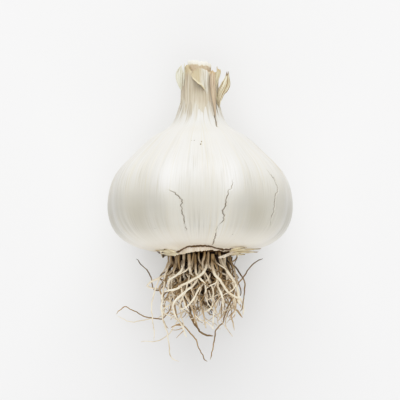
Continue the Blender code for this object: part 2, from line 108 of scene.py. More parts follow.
def ringed_body(name, around, rings, closed=True):
    """Rings (radius, height in mm), one from the next; a closed body has its first and last ring filled."""
    bpy.ops.object.select_all(action="DESELECT")
    radius, height = rings[0]
    bpy.ops.mesh.primitive_circle_add(vertices=around, radius=radius * MM, location=(0, 0, height * MM))
    body = bpy.context.object
    body.name = body.data.name = name
    bpy.ops.object.transform_apply()
    bpy.ops.object.mode_set(mode="EDIT")
    bpy.ops.mesh.select_all(action="SELECT")
    for (old_radius, old_height), (radius, height) in zip(rings, rings[1:]):
        rise = (height - old_height) * MM
        bpy.ops.mesh.extrude_region_move(TRANSFORM_OT_translate={"value": (0, 0, rise)})
        grow = radius / old_radius
        bpy.ops.transform.resize(value=(grow, grow, 1), center_override=(0, 0, height * MM))
    for radius, height in (rings[-1], rings[0]) if closed else ():
        edit = bmesh.from_edit_mesh(body.data)
        for vertex in edit.verts:
            flat = math.hypot(vertex.co.x, vertex.co.y)
            vertex.select = abs(vertex.co.z - height * MM) < 0.01 * MM and abs(flat - radius * MM) < 0.01 * MM
        edit.select_flush_mode()
        bpy.ops.mesh.edge_face_add()
        bpy.ops.mesh.poke()
    bpy.ops.mesh.select_all(action="SELECT")
    bpy.ops.mesh.normals_make_consistent(inside=False)
    bpy.ops.object.mode_set(mode="OBJECT")
    return body


def apply_subdivision(piece, levels):
    """Rounds a piece off with applied subdivision surfaces."""
    bpy.ops.object.select_all(action="DESELECT")
    piece.select_set(True)
    bpy.context.view_layer.objects.active = piece
    rounding = piece.modifiers.new("rounding", "SUBSURF")
    rounding.levels = rounding.render_levels = levels
    bpy.ops.object.modifier_apply(modifier=rounding.name)


def lay_down(piece):
    """Turns a piece from standing to lying, with its place kept in its mesh."""
    piece.data.transform(LIE)
    piece.data.update()


def paint(piece, name, values):
    """Stores a value at each of a piece's points, for an Attribute node to read."""
    mark = piece.data.attributes.new(name, "FLOAT", "POINT")
    mark.data.foreach_set("value", values)


def own_piece(piece, material, slot, *nodes):
    """Gives a piece its finish and smooth shading, hangs it on the root body, and hides the CAD nodes it stands for."""
    piece.data.materials.clear()
    piece.data.materials.append(material)
    for face in piece.data.polygons:
        face.use_smooth = True
    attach(piece, "root")
    if nodes:
        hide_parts(*nodes)


def linear(hex_colour):
    """The linear colour of an sRGB hex value."""
    parts = [int(hex_colour[i:i + 2], 16) / 255 for i in (1, 3, 5)]
    return (*[part / 12.92 if part <= 0.04045 else ((part + 0.055) / 1.055) ** 2.4 for part in parts], 1.0)


def add_node(material, kind, inputs=(), **settings):
    """Adds one shader node, sets it up, and fills or links its inputs."""
    made = material.node_tree.nodes.new(kind)
    for name, value in settings.items():
        setattr(made, name, value)
    for socket, value in dict(inputs).items():
        if isinstance(value, bpy.types.NodeSocket):
            material.node_tree.links.new(value, made.inputs[socket])
        else:
            made.inputs[socket].default_value = value
    return made


def new_material(name, roughness, specular=0.5):
    """A material with its Principled shader set up for dry plant tissue, whose IOR is about 1.45."""
    made = bpy.data.materials.new(name)
    made.use_nodes = True
    shader = made.node_tree.nodes["Principled BSDF"]
    shader.inputs["Roughness"].default_value = roughness
    shader.inputs["IOR"].default_value = 1.45
    shader.inputs["Specular IOR Level"].default_value = specular
    return made, shader


def layer(material, colour, *layers):
    """Lays colours over a first one, each with its own amount."""
    for amount, hex_colour in layers:
        colour = add_node(
            material, "ShaderNodeMix", {0: amount, 6: colour, 7: linear(hex_colour)}, data_type="RGBA").outputs[2]
    return colour


def let_light_in(shader, weight, radii):
    """Thin dry tissue scatters light; the radii are in metres, for red, green and blue."""
    shader.inputs["Subsurface Weight"].default_value = weight
    shader.inputs["Subsurface Radius"].default_value = radii
    shader.inputs["Subsurface Scale"].default_value = 1.0


def dress(material, shader, colour, height, strength, depth):
    """Links a material's colour and its relief, whose depth is in metres."""
    relief = add_node(material, "ShaderNodeBump", {"Height": height, "Strength": strength, "Distance": depth})
    material.node_tree.links.new(colour, shader.inputs["Base Color"])
    material.node_tree.links.new(relief.outputs[0], shader.inputs["Normal"])


def upright_coordinates(material):
    """Object coordinates turned back to the standing bulb, and the way round it as a unit circle."""
    place = add_node(material, "ShaderNodeTexCoord").outputs["Object"]
    upright = add_node(material, "ShaderNodeMapping", {
        "Vector": place, "Location": WIDEST, "Rotation": (-(math.pi / 2 + ROOT_END_LIFT), 0, 0),
    }, vector_type="TEXTURE").outputs[0]
    parts = add_node(material, "ShaderNodeSeparateXYZ", {0: upright})
    flat = add_node(material, "ShaderNodeCombineXYZ", {0: parts.outputs[0], 1: parts.outputs[1]}).outputs[0]
    circle = add_node(material, "ShaderNodeVectorMath", {0: flat}, operation="NORMALIZE").outputs[0]
    return upright, parts.outputs[2], circle


def fibres(material, circle, height, scale, length_mm, detail=3.0):
    """Noise drawn out along the bulb: streaks, about length_mm long, that run from root to neck."""
    along = add_node(
        material, "ShaderNodeMath", {0: height, 1: 1 / (scale * length_mm * MM)}, operation="MULTIPLY").outputs[0]
    lift = add_node(material, "ShaderNodeCombineXYZ", {2: along}).outputs[0]
    place = add_node(material, "ShaderNodeVectorMath", {0: circle, 1: lift}, operation="ADD").outputs[0]
    return add_node(
        material, "ShaderNodeTexNoise", {"Vector": place, "Scale": scale, "Detail": detail, "Roughness": 0.6}).outputs[0]


# Dried garlic wrapper: paper-thin cellulose skin, off-white with long fibres, which scatters
# light softly and has a satin gloss. Streaks are about 0.5 mm wide at the widest part.
wrapper_skin, shader = new_material("dried_wrapper_skin", 0.36)
upright, height, circle = upright_coordinates(wrapper_skin)
fine_streaks = fibres(wrapper_skin, circle, height, 60.0, 14)
broad_streaks = fibres(wrapper_skin, circle, height, 9.0, 40, 2.0)
yellow_lines = fibres(wrapper_skin, circle, height, 34.0, 32, 2.0)
white_lines = fibres(wrapper_skin, circle, height, 46.0, 24, 2.0)
streaked_here = fibres(wrapper_skin, circle, height, 5.0, 16, 2.0)
blotches = add_node(
    wrapper_skin, "ShaderNodeTexNoise", {"Vector": upright, "Scale": 90.0, "Detail": 3.0, "Roughness": 0.6}).outputs[0]
crinkles = add_node(
    wrapper_skin, "ShaderNodeTexNoise", {"Vector": upright, "Scale": 260.0, "Detail": 3.0, "Roughness": 0.55}).outputs[0]
tear, warm, hollow_shade, crest_highlight, yellowed, browned = (
    add_node(wrapper_skin, "ShaderNodeAttribute", attribute_name=name).outputs["Fac"]
    for name in ("tear", "warm", "hollow_shade", "crest_highlight", "yellowed", "browned"))
low_down = add_node(
    wrapper_skin, "ShaderNodeMapRange",
    {"Value": height, "From Min": 0.021, "From Max": 0.008, "To Min": 0.3, "To Max": 1.0}).outputs[0]
streak = add_node(
    wrapper_skin, "ShaderNodeMath",
    {
        0: add_node(
            wrapper_skin, "ShaderNodeMapRange",
            {"Value": fine_streaks, "From Min": 0.54, "From Max": 0.36, "To Min": 0.0, "To Max": 1.0}).outputs[0],
        1: low_down},
    operation="MULTIPLY").outputs[0]
streak = add_node(
    wrapper_skin, "ShaderNodeMath",
    {
        0: streak,
        1: add_node(
            wrapper_skin, "ShaderNodeMapRange",
            {"Value": streaked_here, "From Min": 0.38, "From Max": 0.6, "To Min": 0.35, "To Max": 1.15}).outputs[0]},
    operation="MULTIPLY").outputs[0]
# Painted shade: the skin is darkened over the belly, from a little above the widest part down towards the base.
belly = add_node(
    wrapper_skin, "ShaderNodeMath",
    {
        0: add_node(
            wrapper_skin, "ShaderNodeMapRange",
            {"Value": height, "From Min": 0.009, "From Max": 0.0, "To Min": 0.0, "To Max": 0.8}).outputs[0],
        1: add_node(
            wrapper_skin, "ShaderNodeMapRange",
            {"Value": height, "From Min": -0.0100, "From Max": -0.0030, "To Min": 0.12, "To Max": 1.0}).outputs[0]},
    operation="MULTIPLY").outputs[0]
skin = layer(
    wrapper_skin,
    add_node(
        wrapper_skin, "ShaderNodeMix", {0: streak, 6: linear("#D6D3CA"), 7: linear("#BCB8AD")},
        data_type="RGBA").outputs[2],
    (
        add_node(
            wrapper_skin, "ShaderNodeMapRange",
            {"Value": broad_streaks, "From Min": 0.45, "From Max": 0.8, "To Min": 0.0, "To Max": 0.2}).outputs[0],
        "#CCC4B2"),
    (
        add_node(
            wrapper_skin, "ShaderNodeMapRange",
            {"Value": yellow_lines, "From Min": 0.56, "From Max": 0.70, "To Min": 0.0, "To Max": 0.6}).outputs[0],
        "#CFC4A4"),
    (
        add_node(
            wrapper_skin, "ShaderNodeMapRange",
            {"Value": white_lines, "From Min": 0.56, "From Max": 0.70, "To Min": 0.0, "To Max": 0.5}).outputs[0],
        "#E8E7E2"),
    (
        add_node(
            wrapper_skin, "ShaderNodeMapRange",
            {"Value": blotches, "From Min": 0.5, "From Max": 0.75, "To Min": 0.0, "To Max": 0.25}).outputs[0],
        "#D8CFBA"),
    # warm is the bared inner skin; the belly's darker colour is painted shade
    (warm, "#CDC8BA"), (belly, "#BCB9AF"),
    # Painted light: the skin is lightened towards the base, standing in for light thrown up from the table.
    (
        add_node(
            wrapper_skin, "ShaderNodeMapRange",
            {"Value": height, "From Min": -0.0095, "From Max": -0.0135, "To Min": 0.0, "To Max": 0.7}).outputs[0],
        "#ECE4D6"),
    # painted shade in the hollows between the cloves
    (hollow_shade, "#A9A392"))
# A painted highlight: the crests of the two front cloves are mixed towards near white.
crest_highlight_skin = add_node(
    wrapper_skin, "ShaderNodeMix", {0: streak, 6: linear("#F4F3EF"), 7: linear("#DAD7CE")}, data_type="RGBA").outputs[2]
skin = add_node(
    wrapper_skin, "ShaderNodeMix", {0: crest_highlight, 6: skin, 7: crest_highlight_skin}, data_type="RGBA").outputs[2]
skin = add_node(
    wrapper_skin, "ShaderNodeMix", {0: yellowed, 6: skin, 7: linear("#BFA878")}, data_type="RGBA").outputs[2]
neck_streaks = fibres(wrapper_skin, circle, height, 14.0, 11)
tongues = fibres(wrapper_skin, circle, height, 8.0, 18, 2.0)
up_the_neck = add_node(wrapper_skin, "ShaderNodeMath", {
    0: tongues, 1: 0.024, 2: height}, operation="MULTIPLY_ADD").outputs[0]
leafy = add_node(
    wrapper_skin, "ShaderNodeMix",
    {
        0: add_node(
            wrapper_skin, "ShaderNodeMapRange",
            {"Value": neck_streaks, "From Min": 0.35, "From Max": 0.65, "To Min": 0.0, "To Max": 1.0}).outputs[0],
        6: linear("#A29580"), 7: linear("#CFC8B8")},
    data_type="RGBA").outputs[2]
skin = add_node(
    wrapper_skin, "ShaderNodeMix",
    {
        0: add_node(
            wrapper_skin, "ShaderNodeMapRange",
            {"Value": up_the_neck, "From Min": 0.0400, "From Max": 0.0436, "To Min": 0.0, "To Max": 0.95}).outputs[0],
        6: skin, 7: leafy},
    data_type="RGBA").outputs[2]
skin = layer(
    # the splits: partly the torn skin's own brown, partly painted shade in the grooves
    wrapper_skin, skin, (tear, "#57462F"),
    (
        add_node(
            wrapper_skin, "ShaderNodeMapRange",
            {"Value": height, "From Min": -0.0138, "From Max": -0.0150, "To Min": 0.0, "To Max": 0.3}).outputs[0],
        "#D6C6A8"),
    (
        add_node(
            wrapper_skin, "ShaderNodeMapRange",
            {"Value": browned, "From Min": 0.05, "From Max": 0.25, "To Min": 0.0, "To Max": 1.0}).outputs[0],
        "#523608"))
gloss = add_node(
    wrapper_skin, "ShaderNodeMapRange",
    {"Value": fine_streaks, "From Min": 0.3, "From Max": 0.7, "To Min": 0.44, "To Max": 0.32}).outputs[0]
wrapper_skin.node_tree.links.new(gloss, shader.inputs["Roughness"])
let_light_in(shader, 0.12, (0.0025, 0.002, 0.0015))
bump_height = add_node(
    wrapper_skin, "ShaderNodeMath",
    {
        0: crinkles, 1: 1.4,
        2: add_node(
            wrapper_skin, "ShaderNodeMath", {0: fine_streaks, 1: low_down}, operation="MULTIPLY").outputs[0]},
    operation="MULTIPLY_ADD").outputs[0]
dress(wrapper_skin, shader, skin, bump_height, 0.2, 0.0002)

WRAPPER_WALL = 0.22  # thickness of the torn tongues on the neck
NECK_RIM = WRAPPER[0][1]
NECK_FOOT, NECK_REACH = 24.0, 33.0  # where the tongues on the neck start, and how high they reach on average
HOLLOW_RADIUS = 12.6  # of the hollow that holds the root plate
EDGE_RADIUS, EDGE_HEIGHT = WRAPPER[-3]  # the lower edge before it is torn
DRAWN_FROM = 18.0  # the radius from which the torn edge has drawn the skin off its outline
LIP_RADIUS, LIP_WIDTH = 14.1, 0.45
neck_inside = [(radius - WRAPPER_WALL, height) for radius, height in WRAPPER[:9]][::-1]
bulb = ringed_body("papery_bulb", 96, [(4.0, 25.4), *neck_inside, *WRAPPER, (5.0, -13.0)])
apply_subdivision(bulb, 2)


def polar(point):
    """Angle round from the front, in radians, and distance from the axis, in mm."""
    return math.atan2(point.x, -point.y), math.hypot(point.x, point.y) / MM


def clamp(value):
    """Keeps a value between 0 and 1."""
    return min(1.0, max(0.0, value))


def clove_swell(angle, height):
    """How far the cloves push the wrapper out, in mm; the bulb is a little fuller on its right."""
    belly = max(0.0, 1.0 - ((height + 1.0) / 19.0) ** 2)
    bulge = 0.8 + 0.5 * math.exp(-((abs(angle) - 0.35) / 0.2) ** 2)
    return belly * (-bulge * math.cos(9 * angle) - 0.2 * (1 - math.sin(angle)))


def fibre_ridge(angle, height, fineness, long_mm):
    """Ridges, from -1 to 1, that run along the bulb; fineness is how many there are to a radian."""
    return noise.noise(Vector((math.sin(angle) * fineness, math.cos(angle) * fineness, height / long_mm)))


front_column = sorted((vertex.co.z / MM, -vertex.co.y / MM) for vertex in bulb.data.vertices
                      if abs(vertex.co.x) < 0.001 * MM and vertex.co.y < 0 and vertex.co.z > 22.0 * MM)
front_column = [(height, radius) for height, radius in front_column
                if radius >= max(other for near, other in front_column if abs(near - height) < 0.12)]
outer_heights, outer_radii = np.array(front_column).T
edge_angles = np.radians([angle for angle, _, _ in OUTER_EDGE])
browned = []
for vertex in bulb.data.vertices:
    angle, radius = polar(vertex.co)
    height = vertex.co.z / MM
    if height > NECK_FOOT:
        outline = float(np.interp(height, outer_heights, outer_radii))
        inside = outline - radius
        reach = NECK_REACH + 2.0 * fibre_ridge(angle, 0.0, 4.5, 1.0) + 1.5 * fibre_ridge(angle, 0.0, 15.0, 1.0)
        for place, half_width, foot in NOTCHES:
            away = (math.degrees(angle) - place + 180) % 360 - 180
            reach -= (reach - foot) * math.exp(-abs(away / half_width) ** 1.5)
        height = NECK_FOOT + (height - NECK_FOOT) * (reach - NECK_FOOT) / (NECK_RIM - NECK_FOOT)
        if inside < 1.0:
            radius = float(np.interp(height, outer_heights, outer_radii)) - inside
    outside = 1.0 if radius > HOLLOW_RADIUS or height > 0.0 else 0.0
    radius += outside * clove_swell(angle, height)
    ridge = 0.05 * fibre_ridge(angle, height, 9.0, 30.0) + 0.025 * fibre_ridge(angle, height, 26.0, 14.0)
    radius += outside * ridge * min(1.0, (radius / 26.0) ** 2)
    torn_here = 0.0
    if height < -12.5 and radius > 11.5:
        ragged = 0.16 * fibre_ridge(angle, 0.0, 16.0, 1.0) + 0.16 * fibre_ridge(angle, 3.0, 40.0, 1.0)
        edge_radius = float(np.interp(angle, edge_angles, [radius for _, radius, _ in OUTER_EDGE]))
        edge_height = float(np.interp(angle, edge_angles, [height for _, _, height in OUTER_EDGE]))
        if radius > 13.4:
            pull = clamp((DRAWN_FROM - radius) / (DRAWN_FROM - EDGE_RADIUS))
            browned_to = 14.02 + 0.24 * math.exp(-(angle / 0.35) ** 2) + 0.16 * fibre_ridge(angle, 7.0, 9.0, 1.0)
            torn_here = clamp((browned_to - radius) / LIP_WIDTH)
        else:
            pull = clamp((-13.2 - height) / 1.0)
            torn_here = 1.0 if height < -14.0 else 0.6
        pull *= pull * (3 - 2 * pull)
        lip = pull * clamp((LIP_RADIUS - radius) / LIP_WIDTH)
        radius += pull * (edge_radius - EDGE_RADIUS)
        height += pull * (edge_height - EDGE_HEIGHT + ragged) + LIP * (0.5 * pull - lip)
    browned.append(torn_here)
    vertex.co = Vector((math.sin(angle) * radius, -math.cos(angle) * radius, height)) * MM


def surface_point(angle, height):
    """A point on the wrapper, standing, in mm."""
    radii, heights = zip(*WRAPPER[-3::-1])  # without the last two rows, which turn back in to the plate
    radius = float(np.interp(height, heights, radii)) + clove_swell(angle, height)
    place = Vector((math.sin(angle) * radius, -math.cos(angle) * radius, height))
    if height < -11.5:  # the torn edge has drawn the skin off its plain outline here
        place = bulb.closest_point_on_mesh(place * MM)[1] / MM
    return np.array(place)


def split_line(points, seed):
    """A split's line on the wrapper: its points joined and made jagged, a step every 0.4 mm or so."""
    chance = random.Random(seed)
    line = []
    for (angle, height), (next_angle, next_height) in zip(points, points[1:]):
        start = surface_point(math.radians(angle), height)
        length = np.linalg.norm(surface_point(math.radians(next_angle), next_height) - start)
        steps = max(2, round(length / 0.4))
        for step in range(steps):
            share = step / steps
            here = angle + (next_angle - angle) * share + chance.uniform(-0.5, 0.5)
            line.append(surface_point(math.radians(here), height + (next_height - height) * share))
    return np.array(line)


def distance_to_line(places, line):
    """For each place: its distance to the line, how far along the line that is (0 to 1), and on which side."""
    best = np.full(len(places), 1e9)
    share = np.zeros(len(places))
    side = np.zeros(len(places))
    for i, (start, end) in enumerate(zip(line, line[1:])):
        run = end - start
        t = np.clip(((places - start) @ run) / (run @ run), 0.0, 1.0)
        away = places - start - t[:, None] * run
        distance = np.linalg.norm(away, axis=1)
        nearer = distance < best
        best[nearer] = distance[nearer]
        share[nearer] = (i + t[nearer]) / (len(line) - 1)
        out = places * (1, 1, 0)
        turn = np.einsum("ij,ij->i", np.cross(run, away), out)
        side[nearer] = np.sign(turn[nearer])
    return best, share, side


bpy.context.view_layer.update()
split_lines = [(half_width, split_line(points, seed)) for seed, (half_width, points) in enumerate(SPLITS, 1)]
paint(bulb, "browned", browned)
for band in SPLIT_BANDS:
    edit = bmesh.new()
    edit.from_mesh(bulb.data)
    edit.faces.ensure_lookup_table()
    centres = np.array([face.calc_center_median() for face in edit.faces]) / MM
    near = np.min([distance_to_line(centres, line)[0] for _, line in split_lines], axis=0) < band
    edges = {edge for i in np.flatnonzero(near) for edge in edit.faces[i].edges}
    bmesh.ops.subdivide_edges(edit, edges=list(edges), cuts=1, use_grid_fill=True)
    edit.to_mesh(bulb.data)
    edit.free()
places = np.array([vertex.co for vertex in bulb.data.vertices]) / MM
outward = places * (1, 1, 0)
outward /= np.linalg.norm(outward, axis=1)[:, None] + 1e-9
tear_depth = np.zeros(len(places))
# A split is a groove, and the skin beside it has lifted, one side more than the other.
for half_width, line in split_lines:
    distance, share, side = distance_to_line(places, line)
    open_here = np.clip(np.minimum(share, 1 - share) * 12, 0, 1)
    gape = [0.95 + 0.45 * noise.noise(Vector((along * len(line) * 0.16, half_width * 90, 0.5))) for along in share]
    groove = np.exp(-(distance / (half_width * np.array(gape))) ** 2) * open_here
    lip = np.exp(-((distance - 0.45) / 0.22) ** 2) * open_here
    lift = -0.28 * groove + lip * np.where(side > 0, 0.12, 0.05)
    places += outward * lift[:, None]
    # how deep a split is, which paints it dark brown: partly the torn skin's brown, partly painted shade
    tear_depth = np.maximum(tear_depth, groove)
for vertex, place in zip(bulb.data.vertices, places):
    vertex.co = Vector(place) * MM
turns = np.arctan2(places[:, 0], -places[:, 1])
heights = places[:, 2]
# The outer skin has peeled away beyond the first two splits and bared a warmer skin. The hollows
# between the cloves, below the widest part, are darkened as painted shade; the crests of the two front
# cloves carry a painted highlight, and loose skin on the right shoulder has yellowed.
past_left = np.clip((-0.19 - turns) / 0.05, 0, 1) * np.clip((1.15 + turns) / 0.3, 0, 1)
past_right = np.clip((turns - 0.27) / 0.05, 0, 1) * np.clip((1.25 - turns) / 0.3, 0, 1)
below = np.clip((4.5 - heights) / 5.0, 0, 1) * np.clip((heights + 15.5) / 3.0, 0, 1)
in_hollow = np.clip(np.cos(9 * (turns + np.where(turns < 0, 0.07, 0.0))), 0, 1) * np.exp(-((heights + 5.0) / 5.5) ** 2)
in_hollow *= np.where(np.abs(turns) < 0.3, 0.6, 1.0)
crest = np.exp(-((np.abs(turns) - 0.37) / 0.13) ** 2 - ((heights - 6.5) / 5.5) ** 2)
right_shoulder = np.exp(-((turns - 1.38) / 0.15) ** 2 - ((heights - 14.5) / 4.5) ** 2)
for name, values in (
    ("tear", tear_depth), ("crest_highlight", 0.62 * crest), ("warm", 0.55 * np.maximum(past_left, past_right) * below),
    ("hollow_shade", 0.44 * in_hollow), ("yellowed", 0.75 * right_shoulder),
):
    paint(bulb, name, values.astype(np.float32))
lay_down(bulb)
for vertex in bulb.data.vertices:
    vertex.co.z = max(vertex.co.z, 0.0)
own_piece(bulb, wrapper_skin, "bulb_skin", "bulb")

# ---------------------------------------------------------------------------------------------
# The inner leaf sheath: the stiff, dry leaf bases that the wrapper's tongues lie on, wrapped
# tight round the stalk. It is beige, ribbed lengthways by its veins, and torn off at the top.
# ---------------------------------------------------------------------------------------------
# Dried leaf base: thicker than the wrapper and matt, with veins about 0.8 mm apart.
sheath_leaf, shader = new_material("dried_leaf_sheath", 0.62, 0.35)
upright, height, circle = upright_coordinates(sheath_leaf)
veins = fibres(sheath_leaf, circle, height, 9.0, 12)
vein_lines = fibres(sheath_leaf, circle, height, 24.0, 9)
at_top = add_node(
    sheath_leaf, "ShaderNodeMapRange",
    {"Value": height, "From Min": 0.0415, "From Max": 0.0440, "To Min": 0.0, "To Max": 0.55}).outputs[0]
specks = add_node(
    sheath_leaf, "ShaderNodeTexNoise", {"Vector": upright, "Scale": 1100.0, "Detail": 2.0, "Roughness": 0.6}).outputs[0]
leaf = layer(
    sheath_leaf,
    add_node(
        sheath_leaf, "ShaderNodeMix",
        {
            0: add_node(
                sheath_leaf, "ShaderNodeMapRange",
                {"Value": veins, "From Min": 0.35, "From Max": 0.65, "To Min": 0.0, "To Max": 1.0}).outputs[0],
            6: linear("#AEA089"), 7: linear("#CDC5B3")},
        data_type="RGBA").outputs[2],
    (
        add_node(
            sheath_leaf, "ShaderNodeMapRange",
            {"Value": vein_lines, "From Min": 0.5, "From Max": 0.75, "To Min": 0.0, "To Max": 0.5}).outputs[0],
        "#968870"),
    (
        add_node(
            sheath_leaf, "ShaderNodeMapRange",
            {"Value": height, "From Min": 0.037, "From Max": 0.030, "To Min": 0.0, "To Max": 0.5}).outputs[0],
        "#C8C0AF"),
    (at_top, "#B5A47C"),
    (
        add_node(
            sheath_leaf, "ShaderNodeMath",
            {
                0: add_node(
                    sheath_leaf, "ShaderNodeMapRange",
                    {"Value": specks, "From Min": 0.52, "From Max": 0.64, "To Min": 0.0, "To Max": 1.0}).outputs[0],
                1: at_top},
            operation="MULTIPLY").outputs[0],
        "#8C7648"),
    # painted shadow on the sheath just below the front flap
    (add_node(sheath_leaf, "ShaderNodeAttribute", attribute_name="flap_shadow").outputs["Fac"], "#93856C"))
dress(sheath_leaf, shader, leaf, vein_lines, 0.6, 0.0003)

# Radius and height of the sheath, in mm, from its inside over the torn rim and down.
SHEATH = (
    (4.2, 41.0), (4.2, 42.4), (5.0, 43.1), (5.8, 43.0), (6.15, 42.2), (6.2, 40.5), (6.2, 38.5), (6.2, 36.5),
    (6.25, 34.8), (6.3, 33.2), (6.5, 32.0), (6.85, 31.0), (7.15, 30.0), (7.5, 29.0), (7.9, 28.0), (8.4, 27.0),
    (8.9, 26.2),
)
sheath = ringed_body("leaf_sheath", 96, [(2.0, 41.0), *SHEATH, (4.0, 26.0)])
apply_subdivision(sheath, 2)
flap_shadow_amounts = []
for vertex in sheath.data.vertices:
    angle, radius = polar(vertex.co)
    height = vertex.co.z / MM
    # A painted shadow, darkest just below the front flap.
    flap_shadow_amounts.append(0.5 * math.exp(-((angle + 0.1) / 0.35) ** 2 - ((height - 37.6) / 2.0) ** 2))
    if radius > 4.6 and height > 26.1:
        ridge = 0.22 * fibre_ridge(angle, height, 5.0, 30.0) + 0.16 * fibre_ridge(angle, height, 14.0, 16.0)
        grown = 1 + ridge * min(1.0, (height - 26.0) / 4.0) / radius
        vertex.co.x *= grown
        vertex.co.y *= grown
    if height > 40.0:
        ragged = 0.8 * fibre_ridge(angle, 0.0, 5.0, 1.0) + 0.7 * fibre_ridge(angle, 3.0, 17.0, 1.0)
        ragged += 2.3 * math.exp(-((angle + 0.80) / 0.22) ** 2)
        vertex.co.z += ragged * min(1.0, (height - 40.0) / 2.5) * MM
paint(sheath, "flap_shadow", flap_shadow_amounts)
lay_down(sheath)
own_piece(sheath, sheath_leaf, "neck_leaf", "inner_sheath")

# ---------------------------------------------------------------------------------------------
# The cut stalk: the dry flower stalk in the middle of the neck, sliced a little aslant with a
# knife. Its core has shrunk, so a rim of torn fibres stands up round it.
# ---------------------------------------------------------------------------------------------
# Dry stalk: woody fibres, tan on the side and cream where they are freshly cut.
dry_stalk, shader = new_material("dry_stalk_fibre", 0.75, 0.3)
upright, height, circle = upright_coordinates(dry_stalk)
strands = fibres(dry_stalk, circle, height, 7.0, 6)
speck = add_node(
    dry_stalk, "ShaderNodeTexNoise", {"Vector": upright, "Scale": 1400.0, "Detail": 3.0, "Roughness": 0.7}).outputs[0]
wood = layer(
    dry_stalk,
    add_node(
        dry_stalk, "ShaderNodeMix",
        {
            0: add_node(
                dry_stalk, "ShaderNodeMapRange",
                {"Value": strands, "From Min": 0.35, "From Max": 0.65, "To Min": 0.0, "To Max": 1.0}).outputs[0],
            6: linear("#B8A58B"), 7: linear("#D3C5AD")},
        data_type="RGBA").outputs[2],
    (
        add_node(
            dry_stalk, "ShaderNodeMapRange",
            {"Value": speck, "From Min": 0.5, "From Max": 0.7, "To Min": 0.0, "To Max": 0.6}).outputs[0],
        "#A08760"),
    (add_node(dry_stalk, "ShaderNodeAttribute", attribute_name="rim").outputs["Fac"], "#EFE8D6"))
dress(dry_stalk, shader, wood, speck, 0.5, 0.0002)

# Radius and height of the stalk, in mm, from its shrunken core over the rim and down.
STALK = (
    (1.0, 45.3), (2.2, 45.5), (2.9, 46.1), (3.2, 46.8), (3.5, 47.0), (3.8, 46.8), (3.9, 46.1), (3.8, 45.3),
    (3.75, 43.8), (3.8, 42.4), (3.8, 41.3),
)
stalk = ringed_body("sliced_stalk", 64, [*STALK, (1.0, 41.2)])
apply_subdivision(stalk, 2)
rim_share = []
for vertex in stalk.data.vertices:
    angle, radius = polar(vertex.co)
    height = vertex.co.z / MM
    frayed = 0.22 * fibre_ridge(angle, 0.0, 12.0, 1.0) + 0.30 * fibre_ridge(angle, 5.0, 4.0, 1.0)
    rim_share.append(clamp((height - 45.4) / 0.4))
    if radius > 1.6:
        grown = 1 + 0.10 * fibre_ridge(angle, height, 9.0, 9.0) / radius
        vertex.co.x *= grown
        vertex.co.y *= grown
    if height > 44.0:
        above = min(1.0, (height - 44.0) / 1.5)
        notch = 0.4 * math.exp(-((angle - 0.05) / 0.12) ** 2)
        vertex.co.z += (frayed - notch - 0.13 * vertex.co.x / MM) * above * MM
paint(stalk, "rim", rim_share)
lay_down(stalk)
own_piece(stalk, dry_stalk, "stalk_core", "cut_stalk")


# ---------------------------------------------------------------------------------------------
# Torn leaf ends: outer leaves ripped off at the neck. Each is a thin sheet that has dried and
# curled away its own way, ribbed by its veins, with a frayed end that has browned.
# ---------------------------------------------------------------------------------------------
def smooth_line(points, count):
    """Evenly spaced points on the smooth curve through the given ones."""
    given = np.array(points, float)
    ends = np.vstack([2 * given[0] - given[1], given, 2 * given[-1] - given[-2]])
    fine = []
    for before, start, end, after in zip(ends, ends[1:], ends[2:], ends[3:]):
        t = np.linspace(0.0, 1.0, 24, endpoint=False)[:, None]
        bend = 2 * before - 5 * start + 4 * end - after
        turn = 3 * start - before - 3 * end + after
        fine.append(0.5 * (2 * start + (end - before) * t + bend * t**2 + turn * t**3))
    fine = np.vstack([*fine, given[-1:]])
    along = np.concatenate([[0.0], np.cumsum(np.linalg.norm(np.diff(fine, axis=0), axis=1))])
    at = np.linspace(0.0, along[-1], count)
    return np.stack([np.interp(at, along, fine[:, k]) for k in range(3)], axis=1)


def dry_leaf(name, pale, dark, edge, soft=0.12, tanned=None):
    """Leaf that has dried in the air: thin, matt, streaked along its veins, browned where it tore or on one side."""
    made, shader = new_material(name, 0.6, 0.35)
    across = add_node(made, "ShaderNodeUVMap", uv_map="UVMap").outputs[0]
    drawn = add_node(
        made, "ShaderNodeVectorMath", {0: across, 1: (1.0, 0.07, 1.0)}, operation="MULTIPLY").outputs[0]
    streaks = add_node(
        made, "ShaderNodeTexNoise", {"Vector": drawn, "Scale": 14.0, "Detail": 3.0, "Roughness": 0.6}).outputs[0]
    colour = add_node(
        made, "ShaderNodeMix",
        {
            0: add_node(
                made, "ShaderNodeMapRange",
                {
                    "Value": streaks, "From Min": 0.5 - soft, "From Max": 0.5 + soft, "To Min": 0.0,
                    "To Max": 1.0}).outputs[0],
            6: linear(dark), 7: linear(pale)},
        data_type="RGBA").outputs[2]
    if tanned:
        left = add_node(
            made, "ShaderNodeMapRange",
            {
                "Value": add_node(made, "ShaderNodeSeparateXYZ", {0: across}).outputs[0], "From Min": 0.66,
                "From Max": 0.46, "To Min": 0.0, "To Max": 0.8}).outputs[0]
        colour = add_node(
            made, "ShaderNodeMix", {0: left, 6: colour, 7: linear(tanned)}, data_type="RGBA").outputs[2]
    colour = add_node(
        made, "ShaderNodeMix",
        {
            0: add_node(made, "ShaderNodeAttribute", attribute_name="torn").outputs["Fac"], 6: colour,
            7: linear(edge)},
        data_type="RGBA").outputs[2]
    let_light_in(shader, 0.15, (0.001, 0.0008, 0.0006))
    dress(made, shader, colour, streaks, 0.5, 0.0002)
    return made


def give_wall(sheet, wall):
    """Gives a sheet its thickness, in mm, half to each side."""
    body = sheet.modifiers.new("body", "SOLIDIFY")
    body.thickness, body.offset = wall * MM, 0.0
    bpy.ops.object.modifier_apply(modifier=body.name)


